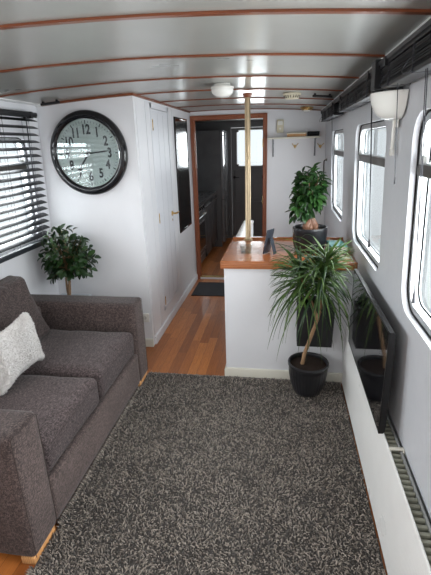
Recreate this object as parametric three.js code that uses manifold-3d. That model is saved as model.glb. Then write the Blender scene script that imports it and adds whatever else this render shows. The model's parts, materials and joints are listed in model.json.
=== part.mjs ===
// Saloon deckhouse of a houseboat: one furnished block of the boat, from the aft bulkhead to the fore-deck door.
// Millimetres, +Z up, +Y towards the bow, +X to starboard.
// Inside the group, x is measured from the centreline, y is a station along the boat, and z is height above the sole.
import * as THREE from "three";
import { mergeVertices } from "three/addons/utils/BufferGeometryUtils.js";
import Module from "manifold-3d";

const wasm = await Module();
wasm.setup();

// ---------- driving sizes ----------
const GAP = 0.5; // clearance kept where one piece is fitted against another
const SOLE_T = 120; // sole boards on their bearers
const STA_MID = 3320; // station of the middle of the deckhouse
const STA_AFT = -700, STA_FWD = 7340; // inner faces of the end bulkheads
const END_T = 60; // end bulkheads
const WALL_T = 70; // plating, insulation and lining
const HALF_W = 1130; // inner half width at EYE_Z
const EYE_Z = 1330;
const LEAN = 0.04; // sides lean inboard this much for each unit of height
const LEAN_A = Math.atan(LEAN);
const CROWN_Z = 1960; // underside of the ceiling on the centreline
const CAMBER = 4.2e-5; // drop of the ceiling = CAMBER * x * x
const LINING_T = 12, ROOF_T = 45, ROOF_HALF = 1245, ROOF_OVER = 60;
const BATTEN_T = 7.5, BATTEN_W = 24, BATTEN_PITCH = 600;
const TRIM_T = 16; // deeper trim over the clock wall and the wardrobe

const insideHalf = (z) => HALF_W + LEAN * (EYE_Z - z);
const outsideHalf = (z) => insideHalf(z) + WALL_T;

// ---------- shape helpers ----------
const solid = (g) => {
  let b = g.index ? g.toNonIndexed() : g.clone();
  const only = new THREE.BufferGeometry().setAttribute("position", b.getAttribute("position"));
  const m = mergeVertices(only, 1e-3);
  return new wasm.Manifold(
    new wasm.Mesh({ numProp: 3, vertProperties: new Float32Array(m.attributes.position.array), triVerts: new Uint32Array(m.index.array) }),
  );
};
const geometryOf = (m) => {
  const mesh = m.getMesh(), n = mesh.numProp, v = new Float32Array(mesh.numVert * 3);
  for (let i = 0; i < mesh.numVert; i++) v.set(mesh.vertProperties.subarray(i * n, i * n + 3), i * 3);
  const g = new THREE.BufferGeometry().setAttribute("position", new THREE.BufferAttribute(v, 3));
  g.setIndex(new THREE.BufferAttribute(new Uint32Array(mesh.triVerts), 1));
  g.computeVertexNormals();
  return g;
};
const box = (x0, x1, y0, y1, z0, z1) => {
  const g = new THREE.BoxGeometry(x1 - x0, y1 - y0, z1 - z0);
  g.translate((x0 + x1) / 2, (y0 + y1) / 2, (z0 + z1) / 2);
  return solid(g);
};
const outline = (pts) => new THREE.Shape(pts.map((p) => new THREE.Vector2(p[0], p[1])));
const extrude = (shape, depth) => new THREE.ExtrudeGeometry(shape, { depth, bevelEnabled: false, curveSegments: 6 });
// a profile of (x, z) points run along the boat
const runY = (pts, y0, y1) => {
  const g = extrude(outline(pts), y1 - y0);
  g.rotateX(Math.PI / 2);
  g.translate(0, y1, 0);
  return solid(g);
};
// a profile of (y, z) points run across the boat
const runX = (shape, x0, x1) => {
  const g = extrude(shape instanceof THREE.Shape ? shape : outline(shape), x1 - x0);
  g.applyMatrix4(new THREE.Matrix4().set(0, 0, 1, x0, 1, 0, 0, 0, 0, 1, 0, 0, 0, 0, 0, 1));
  return solid(g);
};
const rounded = (w, h, r) => {
  const s = new THREE.Shape(), a = w / 2, b = h / 2;
  s.moveTo(-a + r, -b);
  s.lineTo(a - r, -b); s.absarc(a - r, -b + r, r, -Math.PI / 2, 0, false);
  s.lineTo(a, b - r); s.absarc(a - r, b - r, r, 0, Math.PI / 2, false);
  s.lineTo(-a + r, b); s.absarc(-a + r, b - r, r, Math.PI / 2, Math.PI, false);
  s.lineTo(-a, -b + r); s.absarc(-a + r, -b + r, r, Math.PI, 1.5 * Math.PI, false);
  return s;
};
const roundedX = (w, h, r, x0, x1) => runX(rounded(w, h, r), x0, x1);
const roundedY = (w, h, r, y0, y1) => {
  const g = extrude(rounded(w, h, r), y1 - y0);
  g.rotateX(Math.PI / 2);
  g.translate(0, y1, 0);
  return solid(g);
};
const upright = (r, z0, z1, x, y, sides = 20) => {
  const g = new THREE.CylinderGeometry(r, r, z1 - z0, sides);
  g.rotateX(Math.PI / 2);
  g.translate(x, y, (z0 + z1) / 2);
  return solid(g);
};
// a turned piece: (radius, z) points from the axis at one end to the axis at the other
const turned = (pts, x, y, sides = 24) => {
  const g = new THREE.LatheGeometry(pts.map((p) => new THREE.Vector2(p[0], p[1])), sides);
  g.rotateX(Math.PI / 2);
  g.translate(x, y, 0);
  const m = solid(g);
  return m;
};
const ball = (cx, cy, cz, rx, ry, rz) => {
  const g = new THREE.SphereGeometry(1, 14, 9);
  g.rotateX(Math.PI / 2);
  g.scale(rx, ry, rz);
  g.translate(cx, cy, cz);
  return solid(g);
};
const moved = (m, x, y, z) => m.translate([x, y, z]);
const join = (...ms) => ms.reduce((a, b) => a.add(b));

// ---------- ceiling curve, in flat facets so that roof, lining and battens nest ----------
const FACET = 155.625; // sixteen facets over the roof's width
const curve = (x) => {
  const i = Math.floor(x / FACET), a = i * FACET, b = a + FACET;
  const za = CROWN_Z - CAMBER * a * a, zb = CROWN_Z - CAMBER * b * b;
  return za + ((zb - za) * (x - a)) / FACET;
};
const facetStops = (x0, x1) => {
  const xs = [x0];
  for (let i = Math.ceil(x0 / FACET + 1e-6); i * FACET < x1 - 1e-3; i++) xs.push(i * FACET);
  xs.push(x1);
  return xs;
};
// a layer that follows the ceiling from x0 to x1, between two offsets from its underside
const layer = (x0, x1, low, high, y0, y1) => {
  const xs = facetStops(x0, x1);
  return runY([...xs.map((x) => [x, curve(x) + low]), ...xs.slice().reverse().map((x) => [x, curve(x) + high])], y0, y1);
};
// a bulkhead's outline: sides that lean, top that follows the ceiling
const bulkhead = (half, drop, y0, y1) => {
  const top = (() => { let x = half(1880); for (let i = 0; i < 8; i++) x = half(curve(x) - drop); return x; })();
  const xs = facetStops(-top, top);
  return runY([[-half(0.3), 0.3], [half(0.3), 0.3], ...xs.slice().reverse().map((x) => [x, curve(x) - drop])], y0, y1);
};

// ---------- materials ----------
const paint = (color, roughness = 0.5, metalness = 0) => new THREE.MeshStandardMaterial({ color, roughness, metalness });
const M = {
  white: paint(0xe6e7ea, 0.45), outside: paint(0xe9e6dc, 0.4), lining: paint(0xb4b6b2, 0.15), batten: paint(0x7a3a1c, 0.35),
  frameWood: paint(0x8a3f1e, 0.35), sole: paint(0x9a5a30, 0.4), top: paint(0xb0602c, 0.3), brass: paint(0xc9a558, 0.25, 1),
  alu: paint(0x9fa3a6, 0.35, 1), glass: paint(0xdfe9ee, 0.05), blind: paint(0x23252b, 0.5), grey: paint(0x4a4a4c, 0.5),
  dark: paint(0x2b2a2b, 0.4), mirror: paint(0x5b5c5e, 0.05, 1), cream: paint(0xe8e4d6, 0.4), black: paint(0x15161a, 0.25),
  sofa: paint(0x5c524d, 0.9), pillow: paint(0xd8d4cd, 0.9), rug: paint(0x726a63, 1), mat: paint(0x1f1f24, 0.9),
  clock: paint(0x17171b, 0.25), leaf: paint(0x2f4a25, 0.5), steel: paint(0xb9bbbd, 0.3, 1), opal: paint(0xe9e8e0, 0.3),
};

const house = new THREE.Group();
house.position.set(0, -STA_MID, SOLE_T);
const put = (name, shape, material) => {
  const mesh = new THREE.Mesh(geometryOf(shape), material);
  mesh.name = name;
  house.add(mesh);
};

// ---------- window table: side (+1 starboard), middle station, width ----------
const WIN_Z0 = 970, WIN_Z1 = 1685, WIN_R = 95, TRANSOM_Z = 1505, WIN_ZC = (WIN_Z0 + WIN_Z1) / 2;
const WINDOWS = [
  { name: "starboard_1", side: 1, mid: 1215, wide: 850 },
  { name: "starboard_2", side: 1, mid: 2470, wide: 850 },
  { name: "starboard_3", side: 1, mid: 3860, wide: 850 },
  { name: "port_1", side: -1, mid: 1215, wide: 850 },
  { name: "port_2", side: -1, mid: 2470, wide: 850 },
];

// puts a shape drawn square to the side (x outboard from its inner face, y along, z up) onto the leaning side
const onSide = (m, side, mid, zc) => {
  let s = m;
  if (side < 0) s = s.mirror([1, 0, 0]);
  s = s.rotate([0, (-side * LEAN_A * 180) / Math.PI, 0]);
  return s.translate([side * insideHalf(zc), mid, zc]);
};

// ---------- shell ----------
put("sole", box(-1258, 1258, STA_AFT - END_T, STA_FWD + END_T, -SOLE_T, 0), M.sole);

const sideWall = (side) => {
  const rise = (half) => { let z = 1880; for (let i = 0; i < 8; i++) z = curve(half(z)) - GAP; return z; };
  const zi = rise(insideHalf), zo = rise(outsideHalf);
  const pts = [[insideHalf(0.3), 0.3], [outsideHalf(0.3), 0.3], [outsideHalf(zo), zo], [insideHalf(zi), zi]];
  let w = runY(side > 0 ? pts : pts.map((p) => [-p[0], p[1]]).reverse(), STA_AFT + GAP, STA_FWD - GAP);
  for (const v of WINDOWS) if (v.side === side)
    w = w.subtract(onSide(roundedX(v.wide, WIN_Z1 - WIN_Z0, WIN_R, -40, WALL_T + 40), side, v.mid, WIN_ZC));
  return w;
};
put("starboard_side", sideWall(1), M.outside);
put("port_side", sideWall(-1), M.outside);
put("ceiling_lining", layer(-1178, 1178, 0, LINING_T, STA_AFT - END_T + 1, STA_FWD + END_T - 1), M.lining);
put("roof", layer(-ROOF_HALF, ROOF_HALF, LINING_T + GAP, LINING_T + ROOF_T, STA_AFT - END_T - ROOF_OVER, STA_FWD + END_T + ROOF_OVER), M.outside);

// doors: x0 and x1 of the opening, height, window in the leaf
const AFT_DOOR = { x0: -360, x1: 360, z0: 40, z1: 1840, gx0: -265, gx1: 262, gz0: 760, gz1: 1730 };
const FWD_DOOR = { x0: -200, x1: 410, z0: 40, z1: 1850, gx0: -105, gx1: 355, gz0: 1238, gz1: 1828 - 20 };
const SAL_DOOR = { x0: -315, x1: 435, z1: 1850 }; // clear opening inside the frame
const FRAME_W = 55;
put("aft_bulkhead", bulkhead(outsideHalf, GAP, STA_AFT - END_T, STA_AFT)
  .subtract(box(AFT_DOOR.x0, AFT_DOOR.x1, STA_AFT - END_T - 10, STA_AFT + 10, AFT_DOOR.z0, AFT_DOOR.z1)), M.white);
put("forward_bulkhead", bulkhead(outsideHalf, GAP, STA_FWD, STA_FWD + END_T)
  .subtract(box(FWD_DOOR.x0, FWD_DOOR.x1, STA_FWD - 10, STA_FWD + END_T + 10, FWD_DOOR.z0, FWD_DOOR.z1)), M.grey);
const BULK_Y0 = 4940, BULK_Y1 = 4985;
put("saloon_bulkhead", bulkhead((z) => insideHalf(z) - 1, BATTEN_T + GAP, BULK_Y0, BULK_Y1)
  .subtract(box(SAL_DOOR.x0 - FRAME_W + 15, SAL_DOOR.x1 + FRAME_W - 15, BULK_Y0 - 10, BULK_Y1 + 10, -5, SAL_DOOR.z1 + FRAME_W - 15)), M.white);
{
  // frame in the opening, with a facing that laps the saloon side, and a raised sill
  const { x0, x1, z1 } = SAL_DOOR, lap = 15 - GAP;
  const jambs = box(x0 - FRAME_W + 15 + GAP, x1 + FRAME_W - 15 - GAP, BULK_Y0 - 12, BULK_Y1 + 6, 0.3, z1 + FRAME_W - 15 - GAP);
  const facing = box(x0 - FRAME_W + 1, x1 + FRAME_W, BULK_Y0 - 14, BULK_Y0 - GAP, 0.3, z1 + FRAME_W);
  const hole = box(x0 - 12, x1 + 12, BULK_Y0 - 40, BULK_Y1 + 40, 28, z1 + 12);
  put("saloon_door_frame", join(jambs, facing).subtract(hole), M.frameWood);
}

// ---------- ceiling battens and cornices, one ladder ----------
const battens = [];
for (let y = BULK_Y0 - 9 * BATTEN_PITCH; y < STA_FWD - 100; y += BATTEN_PITCH) battens.push(y);
const CORNICE = [1060, 1100];
const strip = (x0, x1, y0, y1, t = BATTEN_T) => layer(x0, x1, -t, -GAP, y0, y1);
let ladder = join(strip(CORNICE[0], CORNICE[1], STA_AFT + 1, STA_FWD - 1), strip(-CORNICE[1], -CORNICE[0], STA_AFT + 1, STA_FWD - 1));
for (const y of battens) ladder = ladder.add(strip(-CORNICE[1], CORNICE[1], y - BATTEN_W / 2, y + BATTEN_W / 2));
ladder = ladder.add(strip(-CORNICE[1], -366, 3046, 3080, TRIM_T)).add(strip(-400, -366, 3046, BULK_Y0 - 1, TRIM_T));
put("ceiling_battens", ladder, M.batten);

// ---------- wardrobe ----------
const CUP_X = -375, CUP_T = 40, CUP_Y = 3060; // face towards the passage, panel thickness, clock wall station
{
  const half = (z) => insideHalf(z) - 1;
  let x = -half(1860); for (let i = 0; i < 8; i++) x = -half(curve(x) - TRIM_T - GAP);
  const xs = facetStops(x, CUP_X);
  put("clock_wall", runY([[-half(0.3), 0.3], [CUP_X, 0.3], ...xs.slice().reverse().map((q) => [q, curve(q) - TRIM_T - GAP])], CUP_Y, CUP_Y + CUP_T), M.white);
}
const CUP_DOOR = { y0: 3480, y1: 3972, z0: 200, z1: 1888 };
{
  const x0 = CUP_X - CUP_T, x1 = CUP_X, xs = facetStops(x0, x1);
  put("wardrobe_front", runY([[x0, 0.3], [x1, 0.3], ...xs.slice().reverse().map((q) => [q, curve(q) - TRIM_T - GAP])], CUP_Y + CUP_T + GAP, BULK_Y0 - 15)
    .subtract(box(x0 - 20, x1 + 20, CUP_DOOR.y0, CUP_DOOR.y1, CUP_DOOR.z0, CUP_DOOR.z1)), M.white);
}
put("wardrobe_door", box(CUP_X - 28, CUP_X, CUP_DOOR.y0 + 5, CUP_DOOR.y1 - 7, CUP_DOOR.z0 + 5, CUP_DOOR.z1 - 5), M.white);
put("passage_mirror", box(CUP_X + GAP, CUP_X + 9, 4190, 4730, 735, 1862), M.mirror);

// ---------- end doors ----------
put("forward_door", box(FWD_DOOR.x0 + 5, FWD_DOOR.x1 - 8, STA_FWD + 15, STA_FWD + 55, FWD_DOOR.z0 + 5, FWD_DOOR.z1 - 5)
  .subtract(moved(roundedY(FWD_DOOR.gx1 - FWD_DOOR.gx0, FWD_DOOR.gz1 - FWD_DOOR.gz0, 55, STA_FWD, STA_FWD + 90), (FWD_DOOR.gx0 + FWD_DOOR.gx1) / 2, 0, (FWD_DOOR.gz0 + FWD_DOOR.gz1) / 2)), M.grey);
put("forward_door_glass", moved(roundedY(FWD_DOOR.gx1 - FWD_DOOR.gx0 - 1, FWD_DOOR.gz1 - FWD_DOOR.gz0 - 1, 54.5, STA_FWD + 32, STA_FWD + 38), (FWD_DOOR.gx0 + FWD_DOOR.gx1) / 2, 0, (FWD_DOOR.gz0 + FWD_DOOR.gz1) / 2), M.glass);
put("aft_door", box(AFT_DOOR.x0 + 5, AFT_DOOR.x1 - 8, STA_AFT - 55, STA_AFT - 15, AFT_DOOR.z0 + 5, AFT_DOOR.z1 - 5)
  .subtract(moved(roundedY(AFT_DOOR.gx1 - AFT_DOOR.gx0, AFT_DOOR.gz1 - AFT_DOOR.gz0, 45, STA_AFT - 90, STA_AFT), (AFT_DOOR.gx0 + AFT_DOOR.gx1) / 2, 0, (AFT_DOOR.gz0 + AFT_DOOR.gz1) / 2)), M.white);
put("aft_door_glass", moved(roundedY(AFT_DOOR.gx1 - AFT_DOOR.gx0 - 1, AFT_DOOR.gz1 - AFT_DOOR.gz0 - 1, 44.5, STA_AFT - 38, STA_AFT - 32), (AFT_DOOR.gx0 + AFT_DOOR.gx1) / 2, 0, (AFT_DOOR.gz0 + AFT_DOOR.gz1) / 2), M.glass);

// ---------- windows: a metal frame with a rail across it, and one pane ----------
for (const v of WINDOWS) {
  const h = WIN_Z1 - WIN_Z0, w = v.wide, rim = 30;
  const ring = roundedX(w - 2 * GAP, h - 2 * GAP, WIN_R - GAP, 24, 77).add(roundedX(w + 50, h + 50, WIN_R + 25, WALL_T + GAP, 77));
  const clear = roundedX(w - 2 * rim, h - 2 * rim, WIN_R - rim, 0, 100);
  const rail = box(30, 54, -w / 2 + rim - 5, w / 2 - rim + 5, TRANSOM_Z - WIN_ZC - 24, TRANSOM_Z - WIN_ZC + 4);
  put("window_frame_" + v.name, onSide(ring.subtract(clear).add(rail), v.side, v.mid, WIN_ZC), M.alu);
  put("window_pane_" + v.name, onSide(roundedX(w - 2 * rim - 2 * GAP, h - 2 * rim - 2 * GAP, WIN_R - rim - GAP, 56, 62), v.side, v.mid, WIN_ZC), M.glass);
}

// ---------- blinds: lowered to port, drawn up to starboard, each side hung from one headrail ----------
const BLIND_W = 1090;
const BLINDS = [
  { name: "port_blinds", side: -1, mids: [1155, 2400], low: 925, head: [1815, 1850], deep: 62 },
  { name: "starboard_blinds", side: 1, mids: [1215, 2470, 3860], low: 1775, head: [1812, 1870], deep: 96 },
];
for (const b of BLINDS) {
  let set = box(-b.deep, -16, b.mids[0] - BLIND_W / 2, b.mids.at(-1) + BLIND_W / 2, b.head[0] - EYE_Z, b.head[1] - EYE_Z);
  for (const mid of b.mids) set = set.add(box(-b.deep + 4, -20, mid - BLIND_W / 2, mid + BLIND_W / 2, b.low - EYE_Z, b.head[0] + 5 - EYE_Z));
  put(b.name, onSide(set, b.side, 0, EYE_Z), M.blind);
}

// ---------- counter, half wall and pole ----------
const against = (x0, z0, z1, y0, y1, side = 1) => { // a block from x0 out to the leaning side
  const pts = [[x0, z0], [insideHalf(z0) - 1, z0], [insideHalf(z1) - 1, z1], [x0, z1]];
  return runY(side > 0 ? pts : pts.map((p) => [-p[0], p[1]]).reverse(), y0, y1);
};
put("counter", against(300, 0.3, 826, 2650, 3320), M.white);
put("counter_top", against(281, 826.5, 868, 2640, 3335), M.top);
put("half_wall", box(303, 392, 3336, 4100, 0.3, 862), M.white);
put("brass_pole", join(upright(21, 868.5, curve(408) - 1.6, 408, 3290), upright(38, 868.5, 876, 408, 3290), upright(34, curve(408) - 16, curve(408) - 3.5, 408, 3290)), M.brass);
put("shelf", join(box(500, 1050, 4798, 4939.5, 1632, 1650), box(548, 566, 4815, 4939.5, 1615, 1633), box(548, 566, 4925, 4939.5, 1455, 1633),
  box(1000, 1018, 4815, 4939.5, 1615, 1633), box(1000, 1018, 4925, 4939.5, 1455, 1633)), M.cream);

// ---------- radiator and screen ----------
put("radiator", join(box(1105, 1157, 600, 2620, 12, 450), box(1115, 1147, 760, 800, 0.3, 15), box(1115, 1147, 2420, 2460, 0.3, 15)), M.cream);
put("television", join(box(1080, 1106, 1500, 2350, 464, 915), box(1102, 1124, 1650, 2190, 540, 800), box(1092, 1150, 1790, 2050, 450.5, 460), box(1092, 1106, 1860, 1980, 455, 470)), M.black);

// ---------- lamps and clock ----------
// half a bowl against the wall, open at the top, on a wall plate
put("wall_lamp", join(turned([[0, 1668], [42, 1671], [76, 1686], [99, 1714], [110, 1765], [103.5, 1765], [93, 1717], [71, 1692], [40, 1678], [0, 1675]], 1113, 1830, 40).intersect(against(960, 1600, 1800, 1700, 1960)), box(1103, 1111, 1797, 1863, 1672, 1706)), M.opal);
{
  const g = new THREE.LatheGeometry([[0, 0], [296, 0], [298, 6], [296, 26], [284, 40], [262, 46], [244, 34], [243, 22], [0, 22]].map((p) => new THREE.Vector2(p[0], p[1])), 48);
  g.rotateX(Math.PI); // its back against the wall, dial towards the saloon
  g.translate(-740, CUP_Y - GAP, 1563);
  put("wall_clock", solid(g), M.clock);
}

// ---------- settee ----------
const SOFA = { x0: -1120, x1: -275, y0: 1106, y1: 2610, aftArm: 186, arm: 172, seat: 445, armTop: 622, backTop: 600 };
{
  const { x0, x1, y0, y1, aftArm, arm, armTop, backTop } = SOFA;
  const parts = [box(x0, x1 - 5, y0 + aftArm - 5, y1 - arm + 5, 36, 262), box(x0, x1, y0, y0 + aftArm, 34, armTop), box(x0, x1, y1 - arm, y1, 34, armTop), box(x0, x0 + 185, y0 + aftArm - 5, y1 - arm + 5, 200, backTop)];
  for (const [fx, fy] of [[x0 + 10, y0 + 4], [x0 + 10, y1 - 172], [x1 - 72, y0 + 4], [x1 - 72, y1 - 172]]) parts.push(box(fx, fx + 62, fy, fy + 160, 0.3, 38));
  put("settee_frame", join(...parts), M.sofa);
  const mid = (y0 + aftArm + y1 - arm) / 2;
  for (const [tag, a, b, c, d] of [["aft", y0 + aftArm + 1, mid - 2, 1294, 1808], ["forward", mid + 2, y1 - arm - 1, 1812, 2330]]) {
    put("seat_cushion_" + tag, box(x0 + 187, x1 + 3, a, b, 263, SOFA.seat), M.sofa);
    put("back_cushion_" + tag, runY([[-932, 448], [-795, 448], [-915, 828], [-952, 868], [-1062, 868], [-1078, 603], [-932, 603]], c, d), M.sofa);
  }
  put("scatter_cushion", runY([[-760, 450], [-600, 450], [-650, 780], [-810, 780]], 1530, 1965), M.pillow);
}

// ---------- floor coverings ----------
put("rug", box(-283, 1098, 600, 2632, 0.3, 28), M.rug);
put("door_mat", box(-318, 268, 4310, 4780, 0.3, 8), M.mat);

// ---------- galley ----------
// the run of units stands against the port side; each hollow has its own leaf in front of it
const UNIT = { front: -387, y0: 4994, y1: 6640, plinth: 100, top: 868, panel: 18 };
const LEAF_X0 = -381.5, LEAF_X1 = -363.5; // 5.5 mm in front of the carcass
const HOLLOWS = [
  { leaf: "oven_door", y0: 5012, y1: 5582, z0: 250, z1: 760, back: -900 },
  { leaf: "cupboard_door_aft", y0: 5616, y1: 6112, z0: 118, z1: 850, back: -1090 },
  { leaf: "cupboard_door_forward", y0: 6130, y1: 6622, z0: 118, z1: 850, back: -1090 },
];
let carcass = against(-UNIT.front, 0.3, UNIT.top, UNIT.y0, UNIT.y1, -1).subtract(box(-450, -300, UNIT.y0 - 10, UNIT.y1 + 10, -10, UNIT.plinth));
for (const h of HOLLOWS) carcass = carcass.subtract(box(h.back, -300, h.y0, h.y1, h.z0, h.z1));
put("galley_units", carcass, M.dark);
put("oven_door", join(box(LEAF_X0, LEAF_X1, 4999, 5595, 235, 770), box(-364, -330, 5050, 5544, 726, 744).subtract(box(-364, -342, 5064, 5530, 700, 760))), M.dark);
put("cupboard_door_aft", box(LEAF_X0, LEAF_X1, 5607, 6115, 108, 862), M.dark);
put("cupboard_door_forward", box(LEAF_X0, LEAF_X1, 6127, 6635, 108, 862), M.dark);
put("galley_top", against(352, 868.5, 900, 4992, 6650, -1), M.steel);
const TALL = { front: -292, y0: 6665, y1: 7300, z1: 1800 };
put("tall_unit", against(-TALL.front, 0.3, TALL.z1, TALL.y0, TALL.y1, -1).subtract(box(-1040, -200, TALL.y0 + 30, TALL.y1 - 30, 120, TALL.z1 - 30)), M.grey);
put("tall_unit_door", box(-286.5, -246.5, TALL.y0 + 2, TALL.y1 - 2, 90, TALL.z1 - 4), M.grey);

// ---------- plants ----------
{
  const clearOfBlind = box(-1400, -1046, 2300, 3040, 900, 1400);
  put("corner_plant", join(box(-1075, -815, 2690, 2950, 0.3, 500), upright(13, 492, 800, -910, 2806, 8), ball(-905, 2800, 850, 228, 182, 236)).subtract(clearOfBlind), M.leaf);
  put("counter_plant", join(turned([[0, 868.5], [98, 868.5], [115, 915], [118, 1040], [0, 1040]], 866, 2950), upright(34, 1032, 1160, 866, 2950, 10), ball(862, 2960, 1262, 165, 150, 190)), M.leaf);
  put("floor_plant", join(turned([[0, 28.5], [80, 28.5], [104, 80], [122, 160], [130, 236], [130, 252], [0, 252]], 861, 2470), upright(13, 245, 620, 868, 2445, 8), ball(845, 2330, 735, 212, 152, 340).subtract(box(500, 1200, 2000, 2700, 300, 420))), M.leaf);
}
put("wall_planter", runY([[786, 338], [1006, 338], [1014, 612], [780, 612]], 2505, 2649.5)
  .subtract(runY([[800, 352], [992, 352], [1000, 640], [794, 640]], 2519, 2640)), M.black);

// ---------- grab rails ----------
for (const [tag, side] of [["starboard", 1], ["port", -1]]) {
  const a = 885, b = 915, base = curve(a) + LINING_T + ROOF_T + 1, top = base + 74;
  const span = (y0, y1, z0, z1) => (side > 0 ? box(a, b, y0, y1, z0, z1) : box(-b, -a, y0, y1, z0, z1));
  let rail = span(130, 6500, top - 28, top);
  for (let y = 190; y < 6500; y += 1250) rail = rail.add(span(y - 60, y + 60, base, top - 20));
  put("grab_rail_" + tag, rail, M.frameWood);
}

export default house;
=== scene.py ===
import json
import math
import random

import bmesh
import bpy
import numpy as np
from mathutils import Matrix, Vector
from mathutils import noise as mnoise

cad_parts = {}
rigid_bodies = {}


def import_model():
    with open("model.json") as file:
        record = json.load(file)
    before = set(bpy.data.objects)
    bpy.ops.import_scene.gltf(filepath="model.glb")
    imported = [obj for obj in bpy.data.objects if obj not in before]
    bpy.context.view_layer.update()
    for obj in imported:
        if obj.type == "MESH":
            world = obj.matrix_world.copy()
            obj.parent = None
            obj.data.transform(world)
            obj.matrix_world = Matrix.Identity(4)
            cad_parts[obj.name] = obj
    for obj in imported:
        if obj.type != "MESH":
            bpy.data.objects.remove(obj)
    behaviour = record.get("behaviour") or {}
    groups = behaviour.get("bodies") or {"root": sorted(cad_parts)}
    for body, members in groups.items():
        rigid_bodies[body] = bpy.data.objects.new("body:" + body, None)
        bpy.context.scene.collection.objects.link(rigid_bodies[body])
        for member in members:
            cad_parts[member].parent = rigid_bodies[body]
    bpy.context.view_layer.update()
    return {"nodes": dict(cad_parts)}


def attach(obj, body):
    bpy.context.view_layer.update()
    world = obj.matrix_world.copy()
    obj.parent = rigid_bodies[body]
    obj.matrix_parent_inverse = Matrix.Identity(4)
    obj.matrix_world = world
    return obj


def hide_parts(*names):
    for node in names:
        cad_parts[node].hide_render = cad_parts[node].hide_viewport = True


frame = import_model()
NODE = frame["nodes"]
HOUSE = "deckhouse"

# ---------- numbers shared with the model: x from the centreline, station along the boat, height above the sole, in mm ----------
STA_MID, SOLE_T = 3320.0, 120.0
STA_AFT, STA_FWD, END_T, WALL_T = -700.0, 7340.0, 60.0, 70.0
HALF_W, EYE_Z, LEAN = 1130.0, 1330.0, 0.04
LEAN_A = math.atan(LEAN)
CROWN_Z, CAMBER, FACET = 1960.0, 4.2e-5, 155.625
WIN_Z0, WIN_Z1, WIN_R, TRANSOM_Z = 970.0, 1685.0, 95.0, 1505.0
WINDOWS = [("starboard_1", 1, 1215.0), ("starboard_2", 1, 2470.0), ("starboard_3", 1, 3860.0), ("port_1", -1, 1215.0), ("port_2", -1, 2470.0)]
WIN_W = 850.0


def inside_half(z):
    return HALF_W + LEAN * (EYE_Z - z)


def ceiling(x):
    i = math.floor(x / FACET)
    a, b = i * FACET, (i + 1) * FACET
    za, zb = CROWN_Z - CAMBER * a * a, CROWN_Z - CAMBER * b * b
    return za + (zb - za) * (x - a) / FACET


def side_point(s, u, sta, dz, zc):
    """A point given square to a side: u outboard of its inner face, dz up from height zc."""
    x = u * math.cos(LEAN_A) - dz * math.sin(LEAN_A)
    z = u * math.sin(LEAN_A) + dz * math.cos(LEAN_A)
    return (s * (inside_half(zc) + x), sta, zc + z)


def row(p):
    return Vector((p[0] / 1000, (p[1] - STA_MID) / 1000, (p[2] + SOLE_T) / 1000))


# ---------- camera ----------
def camera():
    yaw, pitch, roll, focal = math.radians(9.39521318), math.radians(18.89792238), math.radians(-1.82019699), 418.14372203
    base = Matrix(((1, 0, 0), (0, 0, -1), (0, 1, 0)))
    ca, sa = math.cos(yaw), math.sin(yaw)
    cb, sb = math.cos(pitch), math.sin(pitch)
    cc, sc = math.cos(roll), math.sin(roll)
    turn = Matrix(((ca, -sa, 0), (sa, ca, 0), (0, 0, 1)))
    tilt = Matrix(((1, 0, 0), (0, cb, -sb), (0, sb, cb)))
    bank = Matrix(((cc, -sc, 0), (sc, cc, 0), (0, 0, 1)))
    r = bank @ tilt @ base @ turn.transposed()
    data = bpy.data.cameras.new("photo_camera")
    data.sensor_width, data.sensor_fit, data.lens = 36.0, "AUTO", focal * 36.0 / 575.0
    data.clip_start, data.clip_end = 0.02, 100.0
    cam = bpy.data.objects.new("photo_camera", data)
    bpy.context.scene.collection.objects.link(cam)
    right, up, back = Vector(r[0]), -Vector(r[1]), -Vector(r[2])
    m = Matrix((right, up, back)).transposed().to_4x4()
    m.translation = row((675, 0, 1600))
    cam.matrix_world = m
    bpy.context.scene.camera = cam


camera()


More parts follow.
